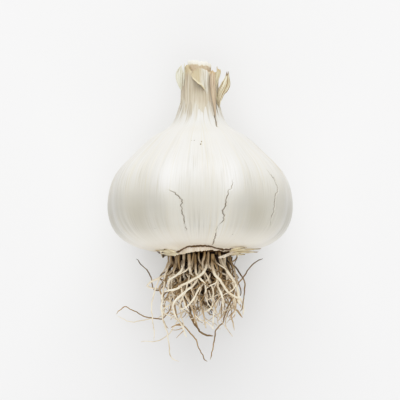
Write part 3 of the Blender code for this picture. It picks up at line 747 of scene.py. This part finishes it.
def thin_sheet(name, across, along, place, wall):
    """A thin sheet, laid down: place gives a standing point in mm and how torn it is, for shares across and along."""
    bpy.ops.object.select_all(action="DESELECT")
    bpy.ops.mesh.primitive_grid_add(x_subdivisions=across, y_subdivisions=along, size=1.0)
    sheet = bpy.context.object
    sheet.name = sheet.data.name = name
    torn = []
    for vertex in sheet.data.vertices:
        point, torn_here = place(vertex.co.x + 0.5, vertex.co.y + 0.5)
        vertex.co = Vector(point) * MM
        torn.append(torn_here)
    paint(sheet, "torn", torn)
    give_wall(sheet, wall)
    lay_down(sheet)
    return sheet


LEAF_WALL = 0.16  # thickness of dry leaf and skin, in mm
LEAF_STEPS = 59  # along a leaf's middle line


def torn_leaf(name, spine, half_widths, facing, cup, ribs, seed, frayed=0.12, browned_sides=0.0):
    """A torn leaf end along a spine; ribs is how many veins it has and how far they stand out, in mm."""
    line = smooth_line(spine, LEAF_STEPS + 1)
    runs = np.gradient(line, axis=0)
    count, height = ribs

    def place(u, v):
        ragged = noise.noise(Vector((u * 9, seed, 0.5))) + 0.5 * noise.noise(Vector((u * 26, seed, 2.5)))
        at = v * LEAF_STEPS * min(1.0, 1 - frayed * (0.5 + ragged))
        row = min(LEAF_STEPS - 1, int(at))
        centre = line[row] + (line[row + 1] - line[row]) * (at - row)
        side = np.cross(runs[row], facing)
        side /= np.linalg.norm(side)
        out = np.cross(side, runs[row])
        out /= np.linalg.norm(out)
        width = float(np.interp(v, np.linspace(0, 1, len(half_widths)), half_widths))
        width *= 1 + 0.12 * noise.noise(Vector((seed, v * 7, 4.5)))
        over = 2 * u - 1
        rib = height * math.cos(math.pi * count * u + seed)
        lift = cup * over * over + rib + 0.25 * noise.noise(Vector((u * 3, v * 4, seed + 7)))
        edge = max(max(0.0, v - 0.93) / 0.07, browned_sides * clamp((abs(over) - 0.6) / 0.25))
        return centre + side * over * width + out * lift, edge
    return thin_sheet(name, 18, 46, place, LEAF_WALL)


bleached_leaf = dry_leaf("bleached_leaf", "#E3E0D2", "#BEBAA2", "#DDD3B4")
straw_leaf = dry_leaf("straw_leaf", "#EBE2C9", "#7E6A42", "#5C3F22", 0.07)
pale_straw = dry_leaf("pale_straw_leaf", "#CEC5AC", "#A49472", "#A68F62")
tan_leaf = dry_leaf("tan_leaf", "#C5B59E", "#AD987E", "#B89A70")

# Each torn end: finish, cup, veins and their height, seed, half widths from foot to end, the way it
# faces, its middle line and the CAD node it stands for.
for name, material, cup, ribs, seed, half_widths, facing, spine, nodes in (
    ("left_leaf_fin", bleached_leaf, 0.25, (7, 0.12), 3.1, (0.1, 0.8, 1.3, 1.25, 0.15), (-0.35, -1.0, 0.0),
     ((-5.9, -1.8, 37.4), (-6.3, -1.9, 39.5), (-6.6, -2.0, 41.6), (-6.5, -2.0, 43.6), (-6.0, -1.8, 45.9)),
     ("neck_strip_left",)),
    ("left_leaf_edge", bleached_leaf, 0.05, (2, 0.02), 21.0, (0.15, 0.3, 0.34, 0.2), (-0.7, -0.7, 0.0),
     ((-5.3, -3.6, 38.6), (-5.15, -3.9, 41.0), (-4.95, -4.1, 43.6), (-4.85, -4.2, 46.0)), ()),
    ("brown_inner_strip", tan_leaf, 0.1, (4, 0.05), 5.7, (0.15, 0.35, 0.65, 0.9, 0.95, 0.85), (0.55, -1.0, 0.0),
     ((5.05, -6.3, 28.4), (4.95, -5.85, 30.6), (4.75, -5.5, 33.0), (4.5, -5.4, 35.8), (4.25, -5.5, 39.5),
      (4.3, -5.3, 43.9)), ("neck_strip_inner_right",)),
    ("tall_straw_strip", pale_straw, -0.15, (3, 0.05), 9.3, (0.15, 0.25, 0.28, 0.3, 0.35, 0.8, 0.9, 0.7),
     (0.5, -1.0, 0.0),
     ((6.3, -2.8, 31.0), (5.9, -3.4, 33.5), (5.55, -3.9, 35.5), (5.2, -4.3, 37.5), (5.4, -4.3, 40.0),
      (6.0, -4.1, 42.2), (6.35, -3.9, 43.5), (6.3, -3.7, 45.1)), ("neck_strip_tall",)),
    ("outer_ribbed_strip", straw_leaf, 0.3, (5, 0.14), 12.9, (0.25, 0.5, 0.95, 1.5, 1.6, 1.1, 0.28),
     (0.25, -1.0, 0.0),
     ((6.2, -2.6, 31.5), (6.4, -2.9, 33.6), (7.1, -2.9, 36.4), (8.1, -2.7, 38.3), (8.75, -2.5, 40.1),
      (9.0, -2.3, 41.9), (9.15, -2.1, 43.6)), ("neck_strip_outer",)),
    ("back_leaf_strip", straw_leaf, -0.4, (5, 0.10), 16.2, (1.0, 1.7, 1.6, 0.5), (-0.3, 1.0, 0.0),
     ((-2.0, 6.4, 33.0), (-2.3, 7.2, 36.4), (-2.6, 7.8, 40.0), (-2.2, 9.2, 43.6)), ("neck_strip_back",)),
):
    strip = torn_leaf(name, spine, half_widths, facing, cup, ribs, seed)
    own_piece(strip, material, "neck_leaf", *nodes)


def front_flap_place(u, v):
    """The flap on the front of the neck: torn off slantwise below, with its lower edge standing proud."""
    angle = math.radians(-26 + 53 * u)
    foot = float(np.interp(u, (0.0, 0.2, 0.37, 0.6, 0.79, 0.86, 0.93, 1.0),
                           (42.0, 40.4, 39.2, 38.0, 36.9, 36.1, 34.8, 33.2)))
    head = float(np.interp(u, (0.0, 0.15, 0.415, 0.6, 0.85, 1.0), (42.4, 43.0, 44.1, 43.9, 43.6, 42.9)))
    foot += 0.25 * noise.noise(Vector((u * 14, 1.5, 0.5)))
    head += 0.35 * noise.noise(Vector((u * 12, 4.5, 0.5)))
    ribs = 0.08 * math.cos(u * 56) if u > 0.55 else 0.04 * math.cos(u * 30)
    proud = 1.2 * (1 - v) ** 1.5 * min(1.0, u * 6) * clamp((0.86 - u) / 0.3)
    radius = 6.45 + proud + ribs - 0.5 * (1 - v) * clamp((u - 0.7) * 5)
    torn = max(0.0, 1 - v / 0.13) * clamp((0.84 - u) / 0.15)
    return (math.sin(angle) * radius, -math.cos(angle) * radius, foot + (head - foot) * v), torn


cream_leaf = dry_leaf("cream_leaf", "#DAD5C7", "#BAB2A0", "#DFD2B2", tanned="#AA9A78")
front_flap = thin_sheet("front_leaf_flap", 48, 30, front_flap_place, 0.35)
own_piece(front_flap, cream_leaf, "neck_leaf", "neck_flap_front")

# ---------------------------------------------------------------------------------------------
# The root plate: the corky disc that the leaves and roots grow from, pitted by dead roots.
# ---------------------------------------------------------------------------------------------
# Cork: dead cells, dark brown and rough, with pits and lumps about 1 mm across.
corky_plate, shader = new_material("corky_root_plate", 0.9, 0.2)
upright, _, _ = upright_coordinates(corky_plate)
lumps = add_node(
    corky_plate, "ShaderNodeTexNoise", {"Vector": upright, "Scale": 900.0, "Detail": 4.0, "Roughness": 0.7}).outputs[0]
cork = add_node(
    corky_plate, "ShaderNodeMix",
    {
        0: add_node(
            corky_plate, "ShaderNodeMapRange",
            {"Value": lumps, "From Min": 0.35, "From Max": 0.65, "To Min": 0.0, "To Max": 1.0}).outputs[0],
        6: linear("#2E1A08"), 7: linear("#6A4A26")},
    data_type="RGBA").outputs[2]
dress(corky_plate, shader, cork, lumps, 0.8, 0.0006)
plate = ringed_body("corky_disc", 48, [
    (3.0, -13.6), (9.0, -13.6), (11.2, -13.8), (11.8, -14.6), (11.7, -15.5), (10.6, -16.0), (8.0, -16.1),
    (5.0, -16.1), (2.0, -16.2)])
apply_subdivision(plate, 2)
for vertex in plate.data.vertices:
    if vertex.co.z < -15.0 * MM:
        vertex.co.z += 0.35 * noise.noise(vertex.co * 500) * MM
lay_down(plate)
own_piece(plate, corky_plate, "root_plate", "root_plate")

# ---------------------------------------------------------------------------------------------
# Torn base skin: where the bulb was pulled, a paler inner layer of skin hangs out below the
# wrapper's browned edge, and a few thin flakes of the wrapper stick out along the bulb.
# ---------------------------------------------------------------------------------------------
# The inner layer's torn edge: degrees round from the front, radius and height in mm.
INNER_EDGE = (
    (-180, 12.4, -16.4), (-155, 12.3, -17.0), (-130, 12.5, -15.2), (-105, 12.3, -17.1), (-78, 12.4, -15.4),
    (-60, 12.4, -16.4), (-44, 12.5, -16.6), (-31, 12.6, -17.2), (-24, 12.8, -17.1), (-17, 12.9, -16.8),
    (-9, 12.9, -16.5), (-3, 12.9, -16.3), (6, 12.9, -16.2), (17, 12.9, -16.0), (22, 13.0, -15.9),
    (34, 13.0, -16.1), (50, 12.9, -15.9), (64, 12.5, -16.3), (90, 12.3, -17.0), (112, 12.5, -15.4),
    (150, 12.3, -16.8), (180, 12.4, -16.4),
)


def torn_skirt(name, top, bend, edge, fray, wall):
    """A torn layer of skin round the root plate: from a ring, round a bend, to a ragged edge."""
    steps = 10
    skirt = ringed_body(name, 360, [(top[0], top[1] - 0.1 * i) for i in range(steps + 1)], closed=False)
    angles = np.array([math.radians(angle) for angle, _, _ in edge])
    torn = []
    for vertex in skirt.data.vertices:
        angle, _ = polar(vertex.co)
        share = (top[1] - vertex.co.z / MM) / (0.1 * steps)
        radius = float(np.interp(angle, angles, [radius for _, radius, _ in edge]))
        height = float(np.interp(angle, angles, [height for _, _, height in edge]))
        ragged = fray * (fibre_ridge(angle, 0.0, 9.0, 1.0) + 0.9 * fibre_ridge(angle, 3.0, 26.0, 1.0))
        radius += 0.5 * ragged
        height += ragged
        start, middle, end = (1 - share) ** 2, 2 * share * (1 - share), share ** 2
        radius = start * top[0] + middle * bend[0] + end * radius
        height = start * top[1] + middle * bend[1] + end * height
        radius += 0.2 * share * fibre_ridge(angle, 0.0, 14.0, 2.0)
        vertex.co = Vector((math.sin(angle) * radius, -math.cos(angle) * radius, height)) * MM
        torn.append(max(0.0, share - 0.86) / 0.14)
    paint(skirt, "torn", torn)
    give_wall(skirt, wall)
    lay_down(skirt)
    return skirt


# Inner skin: thinner and pinker than the wrapper, streaked towards the plate, tanned where it tore.
inner_skin, shader = new_material("pale_inner_skin", 0.5, 0.35)
_, height, circle = upright_coordinates(inner_skin)
streaks = fibres(inner_skin, circle, height, 20.0, 4)
pinkish = add_node(
    inner_skin, "ShaderNodeMix",
    {
        0: add_node(
            inner_skin, "ShaderNodeMapRange",
            {"Value": streaks, "From Min": 0.4, "From Max": 0.7, "To Min": 0.0, "To Max": 1.0}).outputs[0],
        6: linear("#EDE1D0"), 7: linear("#D3C1A8")},
    data_type="RGBA").outputs[2]
pinkish = layer(
    inner_skin, pinkish,
    (add_node(inner_skin, "ShaderNodeAttribute", attribute_name="torn").outputs["Fac"], "#D6C5A8"))
dress(inner_skin, shader, pinkish, streaks, 0.5, 0.0003)
inner_skirt = torn_skirt("inner_base_skin", (13.1, -14.3), (13.0, -15.2), INNER_EDGE, 0.3, 0.2)
own_piece(inner_skirt, inner_skin, "base_skin", "base_flake_front")

# Flakes of wrapper: cream and tan stripes, brown at the tip.
flake_skin = dry_leaf("browned_skin_flake", "#F8F1DC", "#DDCCA4", "#AE9262")
for name, seed, widths, facing, spine, nodes in (
    ("left_skin_flake", 3.3, (0.3, 0.5, 0.45, 0.3, 0.08), (-0.2, -1.0, -0.3),
     ((-6.8, -11.7, -17.1), (-8.8, -10.4, -16.6), (-11.2, -8.3, -15.9), (-13.2, -6.3, -15.5), (-14.9, -4.9, -15.25)),
     ("base_flake_left", "base_flake_front_left")),
    ("left_skin_sliver", 8.1, (0.2, 0.3, 0.22, 0.08), (-0.2, -1.0, -0.3),
     ((-7.6, -10.8, -17.4), (-9.8, -9.0, -16.9), (-11.8, -7.2, -16.55), (-13.6, -5.8, -16.4)), ()),
    ("left_skin_wisp", 6.4, (0.25, 0.4, 0.3, 0.08), (-0.2, -1.0, -0.3),
     ((-7.6, -12.2, -16.7), (-8.9, -11.6, -16.1), (-10.2, -10.7, -15.6), (-11.5, -9.6, -15.3)), ()),
    ("right_skin_flake", 5.2, (0.25, 0.4, 0.36, 0.26, 0.07), (0.2, -1.0, -0.2),
     ((9.7, -9.6, -16.0), (12.3, -8.3, -15.65), (14.9, -7.2, -15.3), (17.4, -5.9, -15.0), (20.0, -4.5, -14.75)),
     ("base_flake_front_right",)),
    ("right_skin_wisp", 9.7, (0.3, 0.42, 0.34, 0.1), (0.2, -1.0, -0.3),
     ((10.2, -12.2, -15.8), (12.0, -11.5, -15.35), (13.7, -10.6, -15.0), (15.4, -9.4, -14.85)), ()),
    ("right_skin_sliver", 11.4, (0.2, 0.3, 0.24, 0.08), (0.2, -1.0, -0.2),
     ((11.9, -8.6, -16.3), (14.3, -7.2, -16.15), (16.7, -5.6, -15.95), (19.0, -4.2, -15.8)), ("base_flake_right",)),
    ("right_skin_shred", 13.9, (0.2, 0.3, 0.26, 0.1), (0.2, -1.0, -0.2),
     ((10.2, -9.3, -16.8), (11.8, -8.4, -16.75), (13.3, -7.5, -16.85), (14.8, -6.5, -16.75)), ()),
    ("back_left_skin_flake", 14.6, (1.2, 1.6, 1.1, 0.3), (-0.3, 0.3, -1.0),
     ((-8.4, 9.6, -15.3), (-9.7, 11.2, -15.5), (-10.9, 12.6, -15.3), (-11.9, 13.9, -15.0)), ("base_flake_back_left",)),
    ("back_skin_flake", 17.3, (1.5, 1.9, 1.3, 0.4), (0.0, 0.3, -1.0),
     ((0.8, 12.8, -15.3), (1.0, 14.6, -15.5), (1.2, 16.2, -15.4), (1.5, 17.6, -15.1)), ("base_flake_back",)),
    ("back_right_skin_flake", 20.9, (1.1, 1.5, 1.2, 0.3), (0.3, 0.3, -1.0),
     ((8.6, 9.4, -15.3), (10.0, 10.8, -15.5), (11.3, 12.1, -15.3), (12.4, 13.2, -15.0)), ("base_flake_back_right",)),
):
    flake = torn_leaf(name, spine, widths, facing, 0.15, (3, 0.05), seed, frayed=0.3,
                      browned_sides=0.1 if name.startswith("left") else 0.6)
    own_piece(flake, flake_skin, "base_skin", *nodes)

peeled_edge = torn_leaf("peeled_base_strip", (
    (6.1, -12.0, -18.3), (7.6, -11.6, -17.9), (9.2, -10.6, -17.2), (10.6, -9.3, -16.4), (11.6, -8.0, -15.7)),
    (0.25, 0.45, 0.42, 0.36, 0.25), (0.6, -1.0, -0.2), 0.12, (2, 0.03), 30.0)
own_piece(peeled_edge, inner_skin, "base_skin")

# ---------------------------------------------------------------------------------------------
# The roots: they grew straight down out of the plate and dried in curls. Each one follows the
# middle of its CAD tube, then kinks, narrows to its tip and varies in thickness as it shrivelled.
# ---------------------------------------------------------------------------------------------
# Dry root: shrivelled rootskin, cream to brown, painted darker within the beard and by the plate as shade.
dry_root, shader = new_material("dry_root_skin", 0.6, 0.35)
place = add_node(dry_root, "ShaderNodeTexCoord").outputs["Object"]
mottle = add_node(
    dry_root, "ShaderNodeTexNoise", {"Vector": place, "Scale": 420.0, "Detail": 3.0, "Roughness": 0.6}).outputs[0]
grit = add_node(
    dry_root, "ShaderNodeTexNoise", {"Vector": place, "Scale": 2600.0, "Detail": 2.0, "Roughness": 0.5}).outputs[0]
paleness = add_node(dry_root, "ShaderNodeAttribute", attribute_name="paleness").outputs["Fac"]
root_colour = layer(
    dry_root,
    add_node(
        dry_root, "ShaderNodeMix",
        {
            0: add_node(
                dry_root, "ShaderNodeMapRange",
                {"Value": paleness, "From Min": 0.0, "From Max": 0.5, "To Min": 0.0, "To Max": 1.0}).outputs[0],
            6: linear("#241204"), 7: linear("#A88A5E")},
        data_type="RGBA").outputs[2],
    (
        add_node(
            dry_root, "ShaderNodeMapRange",
            {"Value": paleness, "From Min": 0.5, "From Max": 1.0, "To Min": 0.0, "To Max": 1.0}).outputs[0],
        "#F5E9D2"),
    (
        add_node(
            dry_root, "ShaderNodeMapRange",
            {"Value": mottle, "From Min": 0.48, "From Max": 0.72, "To Min": 0.0, "To Max": 0.45}).outputs[0],
        "#8A6A42"))
dress(dry_root, shader, root_colour, grit, 0.4, 0.00012)


def middle_line(node):
    """The middle of each ring of a CAD root, from the plate outwards, and its thickest radius, in mm."""
    shape = bmesh.new()
    shape.from_mesh(node.data)
    bmesh.ops.remove_doubles(shape, verts=shape.verts, dist=0.001 * MM)
    foot = max(vertex.co.y for vertex in shape.verts)
    ring = {vertex for vertex in shape.verts if foot - vertex.co.y < 0.02 * MM}
    seen, centres, radius = set(ring), [], 0.0
    while ring:
        centre = sum((vertex.co for vertex in ring), Vector()) / len(ring)
        radius = max(radius, max((vertex.co - centre).length for vertex in ring))
        centres.append(centre / MM)
        ring = {edge.other_vert(vertex) for vertex in ring for edge in vertex.link_edges} - seen
        seen |= ring
    shape.free()
    return np.array(centres), radius / MM


PLATE_DEPTH = 15.5  # from the widest part to where the roots start, in mm
BEARD_EDGE = 12.5  # how far from the axis a root is out of the beard's painted shade, in mm
PLATE_SHADE = 0.45  # painted shade: how much darker a root is where it leaves the plate


def root_tubes(name, roots, sides, paleness, paler_outside=0.5, shaded=4.5):
    """Closed tubes, each along a line of points with its own radii, in mm, as one piece.

    They get paler beyond the middle of the beard, whose radius is given in mm; darker there and by the plate as painted
    shade.
    """
    curve = bpy.data.curves.new(name, "CURVE")
    curve.dimensions = "3D"
    curve.bevel_depth = MM
    curve.bevel_resolution = (sides - 4) // 2
    curve.use_fill_caps = True
    for line, radii in roots:
        path = curve.splines.new("POLY")
        path.points.add(len(line) - 1)
        for point, place, radius in zip(path.points, line, radii):
            point.co = (*(Vector(place) * MM), 1.0)
            point.radius = radius
    tubes = bpy.data.objects.new(name, curve)
    bpy.context.scene.collection.objects.link(tubes)
    bpy.ops.object.select_all(action="DESELECT")
    tubes.select_set(True)
    bpy.context.view_layer.objects.active = tubes
    bpy.ops.object.convert(target="MESH")
    bpy.ops.object.mode_set(mode="EDIT")
    bpy.ops.mesh.select_all(action="SELECT")
    bpy.ops.mesh.remove_doubles(threshold=0.001 * MM)
    bpy.ops.object.mode_set(mode="OBJECT")
    tubes = bpy.context.object
    pale = []
    for vertex in tubes.data.vertices:
        away = vertex.co - WIDEST
        off_axis = (away - away.dot(AXIS) * AXIS).length / MM
        along = -away.dot(AXIS) / MM - PLATE_DEPTH
        # Painted shade: darker in the middle of the beard and by the plate, paler outside.
        outside = clamp((off_axis - shaded + 0.25 * along) / (BEARD_EDGE - shaded))
        by_the_plate = PLATE_SHADE * (1 - clamp(along / 8.0))
        outside *= min(1.0, max(0.2, along / 7.0))
        pale.append(paleness + paler_outside * outside - by_the_plate + 0.3 * noise.noise(vertex.co * 250))
    paint(tubes, "paleness", pale)
    return tubes


SHRIVEL = {"root_front": 1.0, "root_beard": 0.95, "root_stray": 1.0}  # how much of a CAD root's radius is left
KINKS = {"root_front": 0.45, "root_beard": 0.8, "root_stray": 0.8}  # how far it kinks off the CAD root, in mm
# From 0, brown, to 1, cream: a range for each kind of root, and the stray roots one by one.
PALENESS = {"root_front": (0.7, 1.0), "root_beard": (0.2, 0.8)}
STRAY_PALENESS = (0.24, 0.3, 0.32, 0.85, 1.0, 0.95, 0.95, 0.34, 0.28, 0.6, 0.35, 0.2)
PALER_OUTSIDE = {"root_front": 0.2, "root_beard": 0.35, "root_stray": 0.05}  # how much paler outside the beard
ROOT_STEP = 0.45  # between a root's points, in mm
chance = random.Random(4)
root_lines = {}
for node in sorted(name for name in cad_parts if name.startswith("root_") and name != "root_plate"):
    centres, radius = middle_line(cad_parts[node])
    kind = node[:10]
    length = np.linalg.norm(np.diff(centres, axis=0), axis=1).sum()
    line = smooth_line(centres, max(12, round(length / ROOT_STEP)))
    seed = chance.uniform(0, 90)
    radii = []
    for i, place in enumerate(line):
        share = i / (len(line) - 1)
        loose = KINKS[kind] * min(1.0, i * ROOT_STEP / 4.0)
        kink = [noise.noise(Vector((i * 0.13, seed, axis * 7.7))) * 0.6
                + noise.noise(Vector((i * 0.38, seed + 31, axis * 5.1))) * 0.25 for axis in range(3)]
        place += np.array(kink) * loose
        shrunk = 1 + 0.2 * noise.noise(Vector((i * 0.33, seed, 3.3)))
        radii.append(radius * SHRIVEL[kind] * shrunk * (1.0 - 0.4 * share) * min(1.0, (len(line) - i) * 0.22 + 0.15))
        place[2] = max(place[2], radii[-1] + 0.05)
    root_lines[node] = line
    paleness = STRAY_PALENESS[int(node[-2:]) - 1] if kind == "root_stray" else chance.uniform(*PALENESS[kind])
    root = root_tubes("dry_" + node, [(line, radii)], 8, paleness, PALER_OUTSIDE[kind])
    own_piece(root, dry_root, "dry_root", node)

# ---------------------------------------------------------------------------------------------
# The tangle inside the beard: thinner roots that fill it, painted darkest in the middle as shade,
# and hair-thin rootlets that branch off them. Each group is a single piece,
# because nothing holds its roots one by one.
# ---------------------------------------------------------------------------------------------
BEARD_REACH = 9.4  # how far from the axis the beard's roots wander, in mm, before they turn back
FRONT_REACH = -7.0  # and how far forwards, so that the thick front roots stay on top
DARK_ROOTS = 130


def wander(chance, start, heading, steps, stride, curl):
    """A root's line, standing, in mm: straight at first, then it wanders, and turns back at the beard's edge."""
    here, line, bend = np.array(start, float), [np.array(start, float)], np.zeros(3)
    for step in range(steps):
        bend = 0.78 * bend + curl * min(1.0, (step + 1) / 6) * np.array([chance.gauss(0, 1) for _ in range(3)])
        away = math.hypot(here[0], here[1])
        turn_back = max(0.0, away - BEARD_REACH) * 0.09
        heading = heading / np.linalg.norm(heading) * (0.97, 0.97, 1.0) + bend
        heading -= np.array([here[0], here[1], 0.0]) * turn_back / max(away, 1e-6)
        heading[1] += 0.05 * max(0.0, FRONT_REACH - here[1])
        heading[2] -= 0.18 if heading[2] > -0.4 and stride > 0.7 else 0.0
        here = here + stride * heading / np.linalg.norm(heading)
        line.append(here.copy())
    return line


def lying(line):
    """A standing line, in mm, laid down with the bulb."""
    return [LIE @ (Vector(place) * MM) / MM for place in line]


def tapered(line, radius, share=0.55):
    """Radii along a line, from its foot to its tip."""
    return [radius * (1 - share * i / len(line)) for i in range(len(line))]


chance = random.Random(11)
inner_lines = []
# Each group: how many roots, how far out they start, how far to the right, their steps, thinnest and
# thickest, how far from straight they set off, paleness, and how much paler they are outside the beard.
for name, count, nearest, farthest, lean, fewest, most, thin, thick, unruly, paleness, paler_outside in (
    ("dark_inner_roots", DARK_ROOTS, 0.0, 8.2, 1.0, 17, 32, 0.28, 0.46, 0.24, -0.2, 0.5),
    ("tan_inner_roots", 48, 2.0, 8.8, 0.5, 20, 38, 0.30, 0.50, 0.2, 0.35, 0.35),
    ("pale_outer_roots", 46, 4.0, 9.6, 0.2, 22, 44, 0.26, 0.46, 0.14, 0.85, 0.15),
):
    group = []
    for _ in range(count):
        angle = chance.uniform(-math.pi, math.pi)
        out = math.sqrt(chance.uniform(nearest ** 2, farthest ** 2))
        start = (math.sin(angle) * out + lean, -math.cos(angle) * out, -15.9)
        aside = chance.gauss(0, unruly), chance.gauss(0, unruly)
        heading = np.array([start[0] * 0.030 + aside[0], start[1] * 0.030 + aside[1], -1.0])
        line = wander(chance, start, heading, chance.randrange(fewest, most), 0.75, 0.10)
        inner_lines.append(line)
        group.append((lying(line), tapered(line, chance.uniform(thin, thick), 0.62)))
    # The dark inner roots take the painted shade over a wider middle.
    shaded = 7.5 if name == "dark_inner_roots" else 4.5
    own_piece(root_tubes(name, group, 6, paleness, paler_outside, shaded), dry_root, "dry_root")

rootlets = []
branching = [LIE.inverted() @ (Vector(place) * MM) / MM for place in root_lines["root_front_02"]]
for _ in range(9):
    start = branching[round(chance.uniform(0.58, 0.97) * (len(branching) - 1))]
    heading = np.array([-1.0, chance.uniform(-0.3, 0.3), chance.uniform(-1.4, 0.3)])
    hair = wander(chance, start, heading, chance.randrange(6, 11), 0.5, 0.06)
    rootlets.append((lying(hair), tapered(hair, 0.16)))
for _ in range(150):
    line = inner_lines[chance.randrange(len(inner_lines))]
    first = chance.randrange(len(line) // 2, len(line))
    heading = np.array([chance.gauss(0, 1), chance.gauss(0, 1), chance.gauss(-0.8, 0.6)])
    hair = wander(chance, line[first], heading, chance.randrange(5, 12), 0.6, 0.22)
    rootlets.append((lying(hair), tapered(hair, chance.uniform(0.11, 0.2))))
for _ in range(70):
    line = inner_lines[chance.randrange(DARK_ROOTS)]
    first = chance.randrange(2, len(line) // 2)
    heading = np.array([chance.gauss(0, 1), chance.gauss(0, 1), chance.gauss(-0.5, 0.5)])
    hair = wander(chance, line[first], heading, chance.randrange(4, 9), 0.6, 0.25)
    rootlets.append((lying(hair), tapered(hair, chance.uniform(0.12, 0.2))))
own_piece(root_tubes("fine_rootlets", rootlets, 6, 0.25, 0.3), dry_root, "dry_root")

# ---------------------------------------------------------------------------------------------
# The table, the light and the camera: a pale matt table inside a ring of softboxes, brightest on
# the neck's side, and a white surround. The camera looks straight down through a long lens.
# ---------------------------------------------------------------------------------------------
bpy.ops.object.select_all(action="DESELECT")
bpy.ops.mesh.primitive_plane_add(size=12.0, location=(0, 0, 0))
table = bpy.context.object
table.name = "pale_table"
pale_table, shader = new_material("matt_white_board", 0.8, 0.2)
shader.inputs["Base Color"].default_value = linear("#EFEFEF")
table.data.materials.append(pale_table)

surround = bpy.data.worlds.new("white_surround")
bpy.context.scene.world = surround
surround.use_nodes = True
sky = surround.node_tree.nodes["Background"]
sky.inputs["Color"].default_value = linear("#FFFFFF")
sky.inputs["Strength"].default_value = 0.2

# Each softbox: where it is, its width and height, in metres, and its power in watts.
for name, place, width, height, power in (
    ("neck_side_low", (0.0, 0.95, 0.36), 1.2, 0.5, 3.5),
    ("neck_side_high", (0.0, 0.75, 0.75), 1.0, 0.6, 3.5),
    ("overhead", (0.0, 0.0, 1.3), 1.0, 1.0, 4.0),
    ("root_side_low", (0.0, -0.95, 0.36), 1.2, 0.5, 1.2),
    ("root_side_high", (0.0, -0.75, 0.75), 1.0, 0.6, 1.8),
):
    bpy.ops.object.light_add(type="AREA", location=place)
    softbox = bpy.context.object
    softbox.name = name
    softbox.data.shape = "RECTANGLE"
    softbox.data.size, softbox.data.size_y = width, height
    softbox.data.energy = power
    softbox.rotation_euler = (Vector((0, 0, 0.02)) - Vector(place)).to_track_quat("-Z", "Y").to_euler()
    softbox.visible_camera = False

# How far the camera is above the bulb, the width it sees there, both in metres, and its sensor, in mm.
CAMERA_RISE, SEEN_WIDTH, SENSOR = 1.0, 0.1304, 36.0
bpy.ops.object.camera_add(location=(0.16 * MM, 2.45 * MM, CAMERA_RISE + WIDEST.z), rotation=(0, 0, 0))
camera = bpy.context.object
camera.data.sensor_width = SENSOR
camera.data.lens = SENSOR * CAMERA_RISE / SEEN_WIDTH
camera.data.clip_start = 0.01
bpy.context.scene.camera = camera

# The picture is exposed for the table, and highlights roll off softly instead of clipping.
view = bpy.context.scene.view_settings
view.view_transform = "Standard"
view.use_curve_mapping = True
roll_off = view.curve_mapping.curves[3]
for light_in, light_out in (
        (0.12, 0.2), (0.24, 0.4), (0.36, 0.6), (0.48, 0.762), (0.6, 0.865), (0.72, 0.931), (0.84, 0.974)):
    roll_off.points.new(light_in, light_out)
view.curve_mapping.update()
